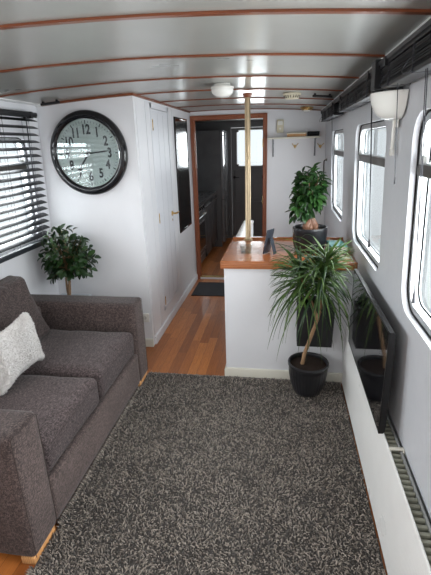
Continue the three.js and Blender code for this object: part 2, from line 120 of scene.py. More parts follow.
# ---------- materials ----------
class Mat:
    """A principled material with short names for its texture nodes. Lengths are metres in the object's frame."""

    def __init__(self, name, color=(0.8, 0.8, 0.8), rough=0.5, metal=0.0):
        self.m = bpy.data.materials.new(name)
        self.m.use_nodes = True
        self.t = self.m.node_tree
        self.n, self.l = self.t.nodes, self.t.links
        self.b, self.out = self.n["Principled BSDF"], self.n["Material Output"]
        self.co = self.n.new("ShaderNodeTexCoord").outputs["Object"]
        self.b.inputs["Base Color"].default_value = (*color, 1)
        self.b.inputs["Roughness"].default_value = rough
        self.b.inputs["Metallic"].default_value = metal

    def put(self, node, i, v):
        if v is None:
            return
        if isinstance(v, bpy.types.NodeSocket):
            self.l.new(v, node.inputs[i])
        elif isinstance(v, (tuple, list)) and len(v) == 3 and node.inputs[i].type == "RGBA":
            node.inputs[i].default_value = (*v, 1)
        else:
            node.inputs[i].default_value = v

    def map(self, scale=(1, 1, 1), rot=(0, 0, 0), src=None, loc=(0, 0, 0)):
        n = self.n.new("ShaderNodeMapping")
        self.put(n, "Vector", src or self.co)
        n.inputs["Scale"].default_value, n.inputs["Rotation"].default_value, n.inputs["Location"].default_value = scale, rot, loc
        return n.outputs["Vector"]

    def noise(self, scale, detail=3, rough=0.5, src=None, distort=0.0):
        n = self.n.new("ShaderNodeTexNoise")
        self.put(n, "Vector", src or self.co)
        n.inputs["Scale"].default_value, n.inputs["Detail"].default_value = scale, detail
        n.inputs["Roughness"].default_value, n.inputs["Distortion"].default_value = rough, distort
        return n.outputs["Fac"]

    def voronoi(self, scale, src=None, feature="F1", out="Distance"):
        n = self.n.new("ShaderNodeTexVoronoi")
        n.feature = feature
        self.put(n, "Vector", src or self.co)
        n.inputs["Scale"].default_value = scale
        return n.outputs[out]

    def wave(self, scale, src=None, kind="BANDS", axis="X", distort=0.0, detail=2.0):
        n = self.n.new("ShaderNodeTexWave")
        n.wave_type = kind
        if kind == "BANDS":
            n.bands_direction = axis
        else:
            n.rings_direction = axis
        self.put(n, "Vector", src or self.co)
        n.inputs["Scale"].default_value, n.inputs["Distortion"].default_value, n.inputs["Detail"].default_value = scale, distort, detail
        return n.outputs["Fac"]

    def white(self, vec=None, w=None):
        n = self.n.new("ShaderNodeTexWhiteNoise")
        n.noise_dimensions = "1D" if vec is None else "3D"
        self.put(n, "Vector" if vec is not None else "W", vec if vec is not None else w)
        return n.outputs["Value"]

    def xyz(self, src=None):
        n = self.n.new("ShaderNodeSeparateXYZ")
        self.put(n, 0, src or self.co)
        return n.outputs

    def join(self, x=0.0, y=0.0, z=0.0):
        n = self.n.new("ShaderNodeCombineXYZ")
        for i, v in enumerate((x, y, z)):
            self.put(n, i, v)
        return n.outputs[0]

    def math(self, op, a, b=None, clamp=False):
        n = self.n.new("ShaderNodeMath")
        n.operation, n.use_clamp = op, clamp
        self.put(n, 0, a)
        self.put(n, 1, b)
        return n.outputs[0]

    def ramp(self, fac, stops, smooth=False):
        n = self.n.new("ShaderNodeValToRGB")
        self.put(n, "Fac", fac)
        if smooth:
            n.color_ramp.interpolation = "EASE"
        e = n.color_ramp.elements
        while len(e) > len(stops):
            e.remove(e[-1])
        while len(e) < len(stops):
            e.new(0.5)
        for s, (pos, c) in zip(e, stops):
            s.position = pos
            s.color = (*c, 1) if len(c) == 3 else c
        return n.outputs["Color"]

    def range(self, v, a, b, lo=0.0, hi=1.0):
        n = self.n.new("ShaderNodeMapRange")
        self.put(n, 0, v)
        for i, x in enumerate((a, b, lo, hi), 1):
            n.inputs[i].default_value = x
        return n.outputs[0]

    def mix(self, fac, a, b, mode="MIX"):
        n = self.n.new("ShaderNodeMix")
        n.data_type, n.blend_type = "RGBA", mode
        self.put(n, 0, fac)
        self.put(n, 6, a)
        self.put(n, 7, b)
        return n.outputs[2]

    def bump(self, height, strength=0.3, dist=0.001, normal=None):
        n = self.n.new("ShaderNodeBump")
        n.inputs["Strength"].default_value, n.inputs["Distance"].default_value = strength, dist
        self.put(n, "Height", height)
        if normal is not None:
            self.put(n, "Normal", normal)
        return n.outputs["Normal"]

    def island(self):
        return self.n.new("ShaderNodeNewGeometry").outputs["Random Per Island"]

    def normal_xyz(self):
        return self.xyz(self.n.new("ShaderNodeNewGeometry").outputs["True Normal"])

    def set(self, **kw):
        names = {"color": "Base Color", "rough": "Roughness", "metal": "Metallic", "normal": "Normal", "coat": "Coat Weight", "coat_rough": "Coat Roughness", "sheen": "Sheen Weight", "sheen_rough": "Sheen Roughness", "ior": "IOR", "glow": "Emission Strength", "glow_color": "Emission Color", "spec": "Specular IOR Level", "sub": "Subsurface Weight", "trans": "Transmission Weight", "coat_normal": "Coat Normal"}
        for k, v in kw.items():
            self.put(self.b, names[k], v)
        return self


def paint(name, inner, outer=None, rough=0.42, tell=None, brush=0.05, grime=0.05):
    """Brushed satin paint. With outer, tell (axis, sign) says which way the outside faces."""
    a = Mat(name, inner, rough)
    tone = a.noise(1.7, 4, 0.55)
    fine = a.noise(34, 4, 0.6)
    dark = tuple(c * (1 - grime) * (0.99, 1.0, 1.005)[i] for i, c in enumerate(inner))
    col = a.mix(a.range(tone, 0.35, 0.7), inner, dark)
    if outer is not None:
        odark = tuple(c * 0.9 for c in outer)
        ocol = a.mix(a.range(tone, 0.3, 0.75), outer, odark)
        axis, sign = tell
        n = a.normal_xyz()[{"X": 0, "Y": 1, "Z": 2}[axis]]
        m = a.math("GREATER_THAN", a.math("MULTIPLY", n, sign), 0.5)
        col = a.mix(m, col, ocol)
    a.set(color=col, rough=a.range(fine, 0.3, 0.7, rough - 0.07, rough + 0.09))
    long_brush = a.noise(26, 3, 0.6, src=a.map((1, 1, 9)))
    a.set(normal=a.bump(a.math("ADD", a.math("MULTIPLY", long_brush, 0.6), a.noise(160, 2)), brush, 0.002, a.bump(tone, 0.12, 0.01)))
    return a.m


def wood(name, dark, light, axis="Y", across=1.0, rough=0.32, coat=0.6, coat_rough=0.12, depth=0.12):
    """Varnished timber, its grain running along one axis of the boat."""
    a = Mat(name, light, rough)
    s = [26 * across] * 3
    s["XYZ".index(axis)] = 1.6 * across
    v = a.map(tuple(s))
    warp = a.noise(0.9, 3, 0.6, src=v)
    rings = a.wave(1.4, src=v, axis="X" if axis != "X" else "Z", distort=5.5, detail=3)
    pores = a.noise(7.0, 5, 0.72, src=v)
    figure = a.math("ADD", a.math("MULTIPLY", rings, 0.45), a.math("ADD", a.math("MULTIPLY", warp, 0.45), a.math("MULTIPLY", pores, 0.35)))
    mid = tuple((p + q) / 2 for p, q in zip(dark, light))
    a.set(color=a.ramp(figure, [(0.25, dark), (0.55, mid), (0.85, light)]), rough=a.range(pores, 0.3, 0.75, rough - 0.06, rough + 0.12))
    a.set(normal=a.bump(pores, depth, 0.0012), coat=coat, coat_rough=coat_rough)
    return a.m


def metal(name, color, rough=0.25, axis=None, scratch=0.08):
    a = Mat(name, color, rough, 1.0)
    v = a.map((1, 1, 1)) if axis is None else a.map(tuple(4 if c == axis else 420 for c in "XYZ"))
    streak = a.noise(1.0 if axis else 60, 3, 0.6, src=v)
    smudge = a.noise(9, 3, 0.6)
    a.set(color=a.mix(a.range(smudge, 0.3, 0.75), color, tuple(c * 0.82 for c in color)), rough=a.range(a.math("ADD", a.math("MULTIPLY", streak, 0.5), a.math("MULTIPLY", smudge, 0.5)), 0.25, 0.75, rough * 0.75, rough * 1.5))
    a.set(normal=a.bump(streak, scratch, 0.0006))
    return a.m


def plastic(name, color, rough=0.35, coat=0.0, grain=220, strength=0.05, vary=0.12):
    a = Mat(name, color, rough)
    fine, big = a.noise(grain, 2), a.noise(6, 3)
    a.set(color=a.mix(a.range(big, 0.3, 0.75), color, tuple(c * (1 - vary) for c in color)), rough=a.range(big, 0.3, 0.7, rough * 0.85, rough * 1.2), coat=coat, coat_rough=0.06)
    a.set(normal=a.bump(fine, strength, 0.0004))
    return a.m


def glass(name, tint=(0.95, 0.98, 0.985), gloss=0.015, base=0.04):
    """Thin sheet glass: clear for light, with a gloss on both faces that grows towards grazing."""
    a = Mat(name)
    a.n.remove(a.b)
    clear, shine, mix, weight = a.n.new("ShaderNodeBsdfTransparent"), a.n.new("ShaderNodeBsdfGlossy"), a.n.new("ShaderNodeMixShader"), a.n.new("ShaderNodeLayerWeight")
    clear.inputs["Color"].default_value = (*tint, 1)
    shine.inputs["Roughness"].default_value = gloss
    weight.inputs["Blend"].default_value = 0.5
    ripple = a.n.new("ShaderNodeBump")
    ripple.inputs["Strength"].default_value, ripple.inputs["Distance"].default_value = 0.05, 0.002
    a.l.new(a.noise(5, 2), ripple.inputs["Height"])
    a.l.new(ripple.outputs["Normal"], shine.inputs["Normal"])
    a.l.new(a.math("ADD", a.math("MULTIPLY", a.math("POWER", weight.outputs["Facing"], 5.0), 0.7), base), mix.inputs[0])
    a.l.new(clear.outputs[0], mix.inputs[1])
    a.l.new(shine.outputs[0], mix.inputs[2])
    a.l.new(mix.outputs[0], a.out.inputs["Surface"])
    return a.m


def planks(name, tell_outside):
    """Oak strip flooring on top, painted bearers round the edge."""
    a = Mat(name, (0.3, 0.14, 0.06), 0.4)
    x, y, _ = a.xyz()
    u = a.math("DIVIDE", x, 0.0715)
    i = a.math("FLOOR", u)
    fu = a.math("FRACT", u)
    v = a.math("ADD", a.math("DIVIDE", y, 0.62), a.math("MULTIPLY", a.white(w=i), 7.3))
    j, fv = a.math("FLOOR", v), a.math("FRACT", v)
    tone = a.white(vec=a.join(i, j, 1.0))
    tone2 = a.white(vec=a.join(i, j, 9.0))
    grain_src = a.map((62, 3.2, 1), src=None)
    shifted = a.n.new("ShaderNodeVectorMath")
    shifted.operation = "ADD"
    a.l.new(grain_src, shifted.inputs[0])
    a.l.new(a.join(a.math("MULTIPLY", tone, 31.0), a.math("MULTIPLY", tone2, 17.0), 0.0), shifted.inputs[1])
    g = a.noise(1.0, 5, 0.65, src=shifted.outputs[0], distort=0.6)
    fine = a.noise(4.5, 4, 0.7, src=shifted.outputs[0])
    body = a.ramp(a.math("ADD", a.math("MULTIPLY", tone, 0.62), a.math("MULTIPLY", g, 0.42)), [(0.12, (0.235, 0.069, 0.014)), (0.4, (0.390, 0.122, 0.026)), (0.68, (0.54, 0.183, 0.041)), (0.95, (0.68, 0.258, 0.064))])
    body = a.mix(a.range(fine, 0.42, 0.72, 0.0, 0.45), body, (0.11, 0.042, 0.018))
    edge = a.math("MINIMUM", a.math("MINIMUM", fu, a.math("SUBTRACT", 1.0, fu)), a.math("MULTIPLY", a.math("MINIMUM", fv, a.math("SUBTRACT", 1.0, fv)), 8.6))
    gap = a.range(edge, 0.0, 0.02)
    col = a.mix(gap, (0.05, 0.022, 0.012), body)
    n = a.normal_xyz()[2]
    top = a.math("GREATER_THAN", n, 0.5)
    a.set(color=a.mix(top, tell_outside, col), rough=a.range(fine, 0.3, 0.75, 0.30, 0.47), coat=0.25, coat_rough=0.2)
    a.set(normal=a.bump(gap, 0.35, 0.0012, a.bump(fine, 0.1, 0.0008)))
    return a.m


def tweed(name, dark, light, weave=1.0, sheen=0.25):
    """Chunky two-tone upholstery cloth: flecked yarns, a slubby surface and a faint lengthwise rib."""
    a = Mat(name, dark, 0.92)
    slub = a.noise(150 * weave, 4, 0.7)
    yarn_a = a.noise(1.0, 4, 0.7, src=a.map((190 * weave, 48 * weave, 190 * weave), rot=(0.0, 0.0, 0.6)))
    yarn_b = a.noise(1.0, 4, 0.7, src=a.map((70 * weave, 190 * weave, 70 * weave), rot=(0.5, 0.0, 0.6), loc=(3.1, 7.7, 1.3)))
    big = a.noise(3.2, 3, 0.6)
    f = a.math("ADD", a.math("MULTIPLY", slub, 0.34), a.math("ADD", a.math("MULTIPLY", yarn_a, 0.36), a.math("MULTIPLY", yarn_b, 0.30)))
    mid = tuple(0.62 * p + 0.38 * q for p, q in zip(dark, light))
    col = a.ramp(f, [(0.41, dark), (0.50, mid), (0.585, light)])
    a.set(color=a.mix(a.range(big, 0.3, 0.75, 0.0, 0.3), col, dark), sheen=sheen, sheen_rough=0.5)
    a.set(normal=a.bump(f, 1.0, 0.0032, a.bump(a.noise(60 * weave, 2), 0.15, 0.003)))
    return a.m


def leaf(name, dark, light, rough=0.33):
    a = Mat(name, dark, rough)
    r = a.island()
    vein = a.noise(60, 3, 0.6)
    col = a.mix(a.range(vein, 0.35, 0.7, 0.0, 0.35), a.ramp(r, [(0.0, dark), (0.6, tuple((p + q) / 2 for p, q in zip(dark, light))), (1.0, light)]), dark)
    a.set(color=col, rough=a.range(vein, 0.3, 0.7, rough - 0.05, rough + 0.12), sub=0.0)
    a.set(normal=a.bump(vein, 0.15, 0.001))
    soft, add = a.n.new("ShaderNodeBsdfTranslucent"), a.n.new("ShaderNodeMixShader")
    a.l.new(col, soft.inputs["Color"])
    add.inputs[0].default_value = 0.18
    a.l.new(a.b.outputs[0], add.inputs[1])
    a.l.new(soft.outputs[0], add.inputs[2])
    a.l.new(add.outputs[0], a.out.inputs["Surface"])
    return a.m


CREAM, NAVY, WHITE, GREY = (0.60, 0.565, 0.475), (0.012, 0.030, 0.075), (0.775, 0.775, 0.80), (0.185, 0.183, 0.188)
MAT = {
    # starboard lining: a greyer, bluer white than the port lining, painted shade for a wall lit from across the saloon;
    # cream outside
    "starboard": paint("paint_starboard_side_shaded", (0.67, 0.68, 0.71), CREAM, tell=("X", 1)),
    "port": paint("paint_port_side", WHITE, CREAM, tell=("X", -1)),
    "aft": paint("paint_aft_end", WHITE, CREAM, tell=("Y", -1)),
    "fwd": paint("paint_forward_end", GREY, CREAM, tell=("Y", 1), grime=0.15),
    "white": paint("paint_white_panel", WHITE),
    # half wall: a lighter white than the other white panels, painted light on it
    "lit_half_white": paint("paint_half_wall_lit", (0.90, 0.90, 0.90)),
    "door_white": paint("paint_door_white", (0.76, 0.77, 0.81), rough=0.36),
    "grey": paint("paint_grey_panel", GREY, grime=0.2, rough=0.4),
    "cream": paint("paint_cream", (0.72, 0.69, 0.60), rough=0.38),
    "cream_out": paint("paint_cream_outside", (0.58, 0.545, 0.455), rough=0.38),
    "navy": paint("paint_navy", NAVY, rough=0.25, grime=0.2),
    "roof": paint("paint_roof", (0.50, 0.52, 0.53), rough=0.6, brush=0.25, grime=0.15),
    
    "cornice": wood("varnish_cornice", (0.115, 0.030, 0.012), (0.29, 0.092, 0.036), "Y"),
    "frame": wood("varnish_mahogany", (0.125, 0.030, 0.011), (0.34, 0.098, 0.036), "Z"),
    "rail": wood("varnish_rail", (0.16, 0.055, 0.02), (0.40, 0.16, 0.06), "Y"),
    "top": wood("varnish_worktop", (0.17, 0.045, 0.013), (0.34, 0.112, 0.036), "X", across=0.8, rough=0.3, coat=0.7, coat_rough=0.1),
    "oak": wood("oak_feet", (0.36, 0.17, 0.06), (0.60, 0.33, 0.14), "Y", rough=0.45, coat=0.2),
    "bark": wood("bark", (0.10, 0.055, 0.03), (0.33, 0.21, 0.12), "Z", across=1.6, rough=0.8, coat=0.0, depth=0.7),
    "sole": planks("sole_planks", NAVY),
    "brass": metal("brass_dulled", (0.72, 0.56, 0.36), 0.33, "Z"),
    "brass_any": metal("brass_fittings", (0.80, 0.56, 0.24), 0.24),
    "alu": metal("aluminium_satin", (0.66, 0.67, 0.68), 0.42, "Y"),
    "steel": metal("steel_brushed", (0.55, 0.56, 0.57), 0.26, "Y"),
    "chrome": metal("chrome", (0.75, 0.76, 0.77), 0.12),
    "blind": plastic("blind_lacquer", (0.007, 0.0075, 0.010), 0.42, coat=0.12),
    "blind_rail": plastic("blind_rail", (0.020, 0.023, 0.030), 0.35, coat=0.3),
    "gloss_black": plastic("gloss_black", (0.008, 0.008, 0.010), 0.12, coat=0.6),
    "black": plastic("satin_black", (0.014, 0.014, 0.016), 0.42),
    "dark": plastic("dark_laminate", (0.085, 0.082, 0.086), 0.36, coat=0.1, vary=0.3),
    "tall": plastic("dark_grey_unit", (0.165, 0.166, 0.172), 0.22, coat=0.5, vary=0.2),
    "enamel": plastic("radiator_enamel", (0.87, 0.87, 0.855), 0.32, coat=0.3, vary=0.06),
    "rad_dark": plastic("radiator_inner", (0.34, 0.34, 0.27), 0.5, vary=0.3),
    "opal": plastic("opal", (0.80, 0.80, 0.76), 0.22, coat=0.4, vary=0.04),
    "socket": plastic("socket_white", (0.78, 0.77, 0.72), 0.3),
    "rubber": plastic("rubber", (0.012, 0.012, 0.013), 0.6),
    "glass": glass("window_glass"),
    "soil": plastic("soil", (0.030, 0.017, 0.011), 0.95, strength=1.0, grain=140, vary=0.5),
    "pot": plastic("pot_black", (0.018, 0.018, 0.021), 0.33, coat=0.25, vary=0.3),
    "pot_white": plastic("pot_white", (0.62, 0.66, 0.70), 0.4),
    "leaf_dark": leaf("leaf_dark", (0.007, 0.024, 0.006), (0.030, 0.078, 0.016)),
    "leaf_mid": leaf("leaf_mid", (0.008, 0.028, 0.008), (0.036, 0.105, 0.020), 0.3),
    "leaf_long": leaf("leaf_long", (0.010, 0.034, 0.009), (0.105, 0.180, 0.038), 0.36),
    "tweed": tweed("settee_tweed", (0.0105, 0.0066, 0.0064), (0.130, 0.094, 0.087), sheen=0.09),
    "hob": plastic("hob_glass", (0.01, 0.01, 0.011), 0.08, coat=0.5),
}


def lacquer():
    """High-gloss lining boards, slightly uneven, so that what they mirror is drawn out."""
    a = Mat("ceiling_lacquer", (0.31, 0.315, 0.295), 0.3)
    tone, fine = a.noise(1.3, 3, 0.5), a.noise(5, 2, 0.5)
    a.set(color=a.mix(a.range(tone, 0.1, 0.9), (0.335, 0.338, 0.318), (0.275, 0.28, 0.258)), rough=a.range(fine, 0.05, 0.95, 0.25, 0.35), coat=0.25, coat_rough=0.16, ior=1.55)
    sway = a.noise(0.9, 1, 0.4, src=a.map((1.8, 0.3, 1)))
    a.set(normal=a.bump(sway, 0.05, 0.02))
    return a.m


def batten_paint():
    """Varnished battens between white cornices: the outer run of the same ladder is painted."""
    a = Mat("varnish_batten", (0.29, 0.092, 0.036), 0.32)
    x, _, _ = a.xyz()
    v = a.map((1.6, 26, 26))
    warp, pores = a.noise(0.9, 3, 0.6, src=v), a.noise(7.0, 5, 0.72, src=v)
    figure = a.math("ADD", a.math("MULTIPLY", warp, 0.6), a.math("MULTIPLY", pores, 0.5))
    timber = a.ramp(figure, [(0.3, (0.105, 0.026, 0.010)), (0.6, (0.20, 0.058, 0.022)), (0.85, (0.31, 0.10, 0.038))])
    outer = a.math("GREATER_THAN", a.math("ABSOLUTE", x), 1.0585)
    a.set(color=a.mix(outer, timber, (0.70, 0.70, 0.70)), rough=a.range(pores, 0.3, 0.75, 0.26, 0.44), coat=0.4, coat_rough=0.14)
    a.set(normal=a.bump(pores, 0.10, 0.0012))
    return a.m


def mirror():
    a = Mat("mirror_smoked", (0.16, 0.165, 0.168), 0.14, 1.0)
    haze = a.noise(3.5, 3)
    a.set(rough=a.range(haze, 0.3, 0.8, 0.11, 0.17), color=a.mix(a.range(haze, 0.3, 0.8), (0.19, 0.195, 0.198), (0.13, 0.135, 0.14)))
    return a.m


def screen():
    a = Mat("screen_glass", (0.005, 0.005, 0.006), 0.06)
    haze = a.noise(6, 3)
    a.set(rough=a.range(haze, 0.3, 0.8, 0.045, 0.09), coat=0.6, coat_rough=0.03, ior=1.6)
    return a.m


def yarn(name, stops, rough=0.95):
    a = Mat(name, stops[0][1], rough)
    r, patch, fine = a.island(), a.noise(4.5, 3, 0.6), a.noise(420, 2)
    f = a.math("ADD", a.math("MULTIPLY", r, 0.85), a.math("MULTIPLY", patch, 0.2))
    a.set(color=a.mix(a.range(fine, 0.4, 0.7, 0, 0.25), a.ramp(f, stops), tuple(c * 0.6 for c in stops[0][1])), sheen=0.25, sheen_rough=0.6)
    a.set(normal=a.bump(fine, 0.4, 0.0008))
    return a.m


MAT["lacquer"], MAT["mirror"], MAT["screen"], MAT["batten"] = lacquer(), mirror(), screen(), batten_paint()
MAT["yarn"] = yarn("rug_yarn", [(0.0, (0.022, 0.017, 0.0135)), (0.30, (0.090, 0.072, 0.059)), (0.60, (0.27, 0.226, 0.187)), (1.0, (0.60, 0.52, 0.44))])
MAT["rug_base"] = yarn("rug_backing", [(0.0, (0.022, 0.018, 0.016)), (1.0, (0.040, 0.033, 0.029))])
MAT["fur"] = yarn("fur_pile", [(0.0, (0.61, 0.575, 0.55)), (0.4, (0.72, 0.69, 0.67)), (1.0, (0.84, 0.82, 0.80))])
MAT["mat"] = tweed("door_mat_pile", (0.008, 0.008, 0.010), (0.032, 0.032, 0.038), weave=0.8, sheen=0.05)


def dress(node, mat):
    o = NODE[node]
    if not o.material_slots:
        o.data.materials.append(mat)
    for s in o.material_slots:
        s.material = mat


def edge(node, width, seg=2):
    """Rounds a CAD node's edges for the light to catch; its own vertices stay."""
    b = NODE[node].modifiers.new("edge", "BEVEL")
    b.width, b.segments, b.limit_method, b.angle_limit = width, seg, "ANGLE", math.radians(40)
    b.harden_normals = False


DRESS = {
    "sole": "sole", "starboard_side": "starboard", "port_side": "port", "ceiling_lining": "lacquer", "roof": "roof",
    "aft_bulkhead": "aft", "forward_bulkhead": "fwd", "saloon_bulkhead": "white", "saloon_door_frame": "frame",
    "ceiling_battens": "batten", "clock_wall": "white", "wardrobe_front": "white", "wardrobe_door": "door_white",
    "passage_mirror": "mirror", "forward_door": "grey", "forward_door_glass": "glass", "aft_door": "door_white",
    "aft_door_glass": "glass", "counter": "white", "counter_top": "top", "half_wall": "lit_half_white", "brass_pole": "brass",
    "shelf": "cream", "galley_units": "dark", "oven_door": "dark", "cupboard_door_aft": "dark",
    "cupboard_door_forward": "dark", "galley_top": "steel", "tall_unit": "tall", "tall_unit_door": "tall",
    "grab_rail_starboard": "rail", "grab_rail_port": "rail", "wall_planter": "black",
}
for w in WINDOWS:
    DRESS["window_frame_" + w[0]], DRESS["window_pane_" + w[0]] = "alu", "glass"
for node, mat in DRESS.items():
    dress(node, MAT[mat])
for node, width in {"counter_top": 0.005, "counter": 0.003, "half_wall": 0.008, "wardrobe_door": 0.003, "clock_wall": 0.006, "shelf": 0.002, "saloon_door_frame": 0.003, "oven_door": 0.002, "cupboard_door_aft": 0.002, "cupboard_door_forward": 0.002, "tall_unit_door": 0.012, "galley_top": 0.002, "aft_door": 0.003, "forward_door": 0.003, "grab_rail_starboard": 0.006, "grab_rail_port": 0.006, "wall_planter": 0.003}.items():
    edge(node, width)


# ---------- mesh building, in the boat's millimetres ----------
class Build:
    """Gathers solids for one piece."""

    def __init__(self):
        self.v, self.f, self.k = [], [], []

    def add(self, verts, faces, k=0):
        n = len(self.v)
        self.v.extend(tuple(p) for p in verts)
        self.f.extend(tuple(i + n for i in f) for f in faces)
        self.k.extend([k] * len(faces))
        return self

    def box(self, x0, x1, y0, y1, z0, z1, r=0.0, seg=2, k=0, turn=None):
        bm = bmesh.new()
        bmesh.ops.create_cube(bm, size=1.0)
        for v in bm.verts:
            v.co = Vector((v.co.x * abs(x1 - x0), v.co.y * abs(y1 - y0), v.co.z * abs(z1 - z0)))
        if r > 0:
            bmesh.ops.bevel(bm, geom=bm.edges[:], offset=r, segments=seg, profile=0.5, affect="EDGES", clamp_overlap=True)
        c = Vector(((x0 + x1) / 2, (y0 + y1) / 2, (z0 + z1) / 2))
        bm.verts.index_update()
        pts = [(turn @ v.co if turn else v.co) + c for v in bm.verts]
        faces = [[v.index for v in f.verts] for f in bm.faces]
        bm.free()
        return self.add(pts, faces, k)

    def tube(self, path, r, sides=8, k=0, closed=False, flat=1.0):
        """A tube along path; r is one radius or one for each point."""
        pts = [Vector(p) for p in path]
        n = len(pts)
        radii = r if hasattr(r, "__len__") else [r] * n
        up = None
        rings = []
        for i, p in enumerate(pts):
            a = pts[(i - 1) % n] if (closed or i) else p
            b = pts[(i + 1) % n] if (closed or i < n - 1) else p
            t = (b - a).normalized()
            if up is None:
                up = Vector((0, 0, 1)) if abs(t.z) < 0.9 else Vector((1, 0, 0))
            side = t.cross(up).normalized()
            up = side.cross(t).normalized()
            rings.append([p + (side * math.cos(2 * math.pi * j / sides) + up * (flat * math.sin(2 * math.pi * j / sides))) * radii[i] for j in range(sides)])
        verts = [q for ring in rings for q in ring]
        faces = []
        for i in range(n if closed else n - 1):
            a, b = i * sides, ((i + 1) % n) * sides
            faces += [(a + j, a + (j + 1) % sides, b + (j + 1) % sides, b + j) for j in range(sides)]
        if not closed:
            faces += [tuple(range(sides))[::-1], tuple((n - 1) * sides + j for j in range(sides))]
        return self.add(verts, faces, k)

    def lathe(self, profile, centre, axis="Z", sides=32, k=0, sign=1):
        """(radius, distance along axis) points, from the axis or a closed outline."""
        verts, ring_at = [], []
        c = Vector(centre)
        ex, ey, ez = {"Z": ((1, 0, 0), (0, 1, 0), (0, 0, 1)), "Y": ((1, 0, 0), (0, 0, 1), (0, 1, 0)), "X": ((0, 1, 0), (0, 0, 1), (1, 0, 0))}[axis]
        ex, ey, ez = Vector(ex), Vector(ey), Vector(ez) * sign
        for r, d in profile:
            if r < 1e-6:
                ring_at.append([len(verts)] * sides)
                verts.append(c + ez * d)
            else:
                ring_at.append(list(range(len(verts), len(verts) + sides)))
                verts += [c + ez * d + (ex * math.cos(2 * math.pi * j / sides) + ey * math.sin(2 * math.pi * j / sides)) * r for j in range(sides)]
        faces = []
        m = len(profile)
        closed = profile[0][0] > 1e-6 and profile[-1][0] > 1e-6
        for i in range(m if closed else m - 1):
            a, b = ring_at[i], ring_at[(i + 1) % m]
            for j in range(sides):
                q = [a[j], a[(j + 1) % sides], b[(j + 1) % sides], b[j]]
                q = [x for t, x in enumerate(q) if x != q[t - 1]]
                if len(q) > 2:
                    faces.append(tuple(q))
        return self.add(verts, faces, k)

    def prism(self, outline, place, t0, t1, k=0):
        """An outline of (a, b) points run from t0 to t1; place(a, b, t) gives the point."""
        n = len(outline)
        verts = [place(a, b, t0) for a, b in outline] + [place(a, b, t1) for a, b in outline]
        faces = [tuple(range(n))[::-1], tuple(range(n, 2 * n))] + [(i, (i + 1) % n, n + (i + 1) % n, n + i) for i in range(n)]
        return self.add(verts, faces, k)

    def make(self, name, mats, body=HOUSE, angle=38, slot=None, replaces=(), outward=True, smooth=True):
        me = bpy.data.meshes.new(name)
        me.from_pydata([row(p)[:] for p in self.v], [], self.f)
        for m in mats if isinstance(mats, (list, tuple)) else [mats]:
            me.materials.append(MAT[m] if isinstance(m, str) else m)
        me.polygons.foreach_set("material_index", self.k)
        if outward:
            bm = bmesh.new()
            bm.from_mesh(me)
            bmesh.ops.recalc_face_normals(bm, faces=bm.faces)
            bm.to_mesh(me)
            bm.free()
        if smooth:
            me.polygons.foreach_set("use_smooth", [True] * len(me.polygons))
            me.set_sharp_from_angle(angle=math.radians(angle))
        return settle(name, me, body, replaces)


def settle(name, me, body=HOUSE, replaces=()):
    o = bpy.data.objects.new(name, me)
    bpy.context.scene.collection.objects.link(o)
    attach(o, body)
    if replaces:
        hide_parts(*([replaces] if isinstance(replaces, str) else replaces))
    return o


def round_rect(w, h, r, seg=6):
    pts = []
    for cx, cy, a0 in ((w / 2 - r, -h / 2 + r, -90), (w / 2 - r, h / 2 - r, 0), (-w / 2 + r, h / 2 - r, 90), (-w / 2 + r, -h / 2 + r, 180)):
        pts += [(cx + r * math.cos(math.radians(a0 + 90 * i / seg)), cy + r * math.sin(math.radians(a0 + 90 * i / seg))) for i in range(seg + 1)]
    return pts


def soft_box(lo, hi, r, step, crown=(0, 0, 0), bump=0.0, freq=9.0, seed=0.0, pinch=0.0):
    """A rounded, crowned block on a fine grid: (vertices in mm, faces)."""
    lo, hi = np.array(lo, float), np.array(hi, float)
    c, h = (lo + hi) / 2, (hi - lo) / 2
    index, verts, faces = {}, [], []

    def at(q):
        key = tuple(np.round(q, 3))
        if key not in index:
            index[key] = len(verts)
            verts.append(q)
        return index[key]

    for ax in range(3):
        a, b = (ax + 1) % 3, (ax + 2) % 3
        na, nb = max(2, int(round(2 * h[a] / step))), max(2, int(round(2 * h[b] / step)))
        for s in (-1, 1):
            grid = [[None] * (nb + 1) for _ in range(na + 1)]
            for i in range(na + 1):
                for j in range(nb + 1):
                    q = np.zeros(3)
                    q[ax], q[a], q[b] = s * h[ax], -h[a] + 2 * h[a] * i / na, -h[b] + 2 * h[b] * j / nb
                    grid[i][j] = at(q)
            for i in range(na):
                for j in range(nb):
                    f = (grid[i][j], grid[i + 1][j], grid[i + 1][j + 1], grid[i][j + 1])
                    faces.append(f if s > 0 else f[::-1])
    v = np.array(verts)
    inner = np.clip(v, -(h - r), h - r)
    d = v - inner
    ln = np.linalg.norm(d, axis=1, keepdims=True)
    v = inner + d / np.maximum(ln, 1e-9) * r
    u = v / h
    for ax in range(3):
        a, b = (ax + 1) % 3, (ax + 2) % 3
        swell = (1 - np.abs(u[:, a]) ** 2.4) * (1 - np.abs(u[:, b]) ** 2.4)
        v[:, ax] += np.sign(u[:, ax]) * np.abs(u[:, ax]) ** 3 * crown[ax] * np.clip(swell, 0, 1)
    if pinch:
        for ax in (0, 1):
            o = 1 - ax
            v[:, ax] -= np.sign(u[:, ax]) * np.abs(u[:, ax]) ** 4 * pinch * (1 - np.abs(u[:, o]) ** 2)
    if bump:
        for i in range(len(v)):
            q = Vector(v[i] / 1000 * freq) + Vector((seed, seed * 1.7, -seed))
            v[i] += (d[i] / max(ln[i, 0], 1e-9) if ln[i, 0] > 1e-6 else 0) * bump * mnoise.noise(q)
    return v + c, faces



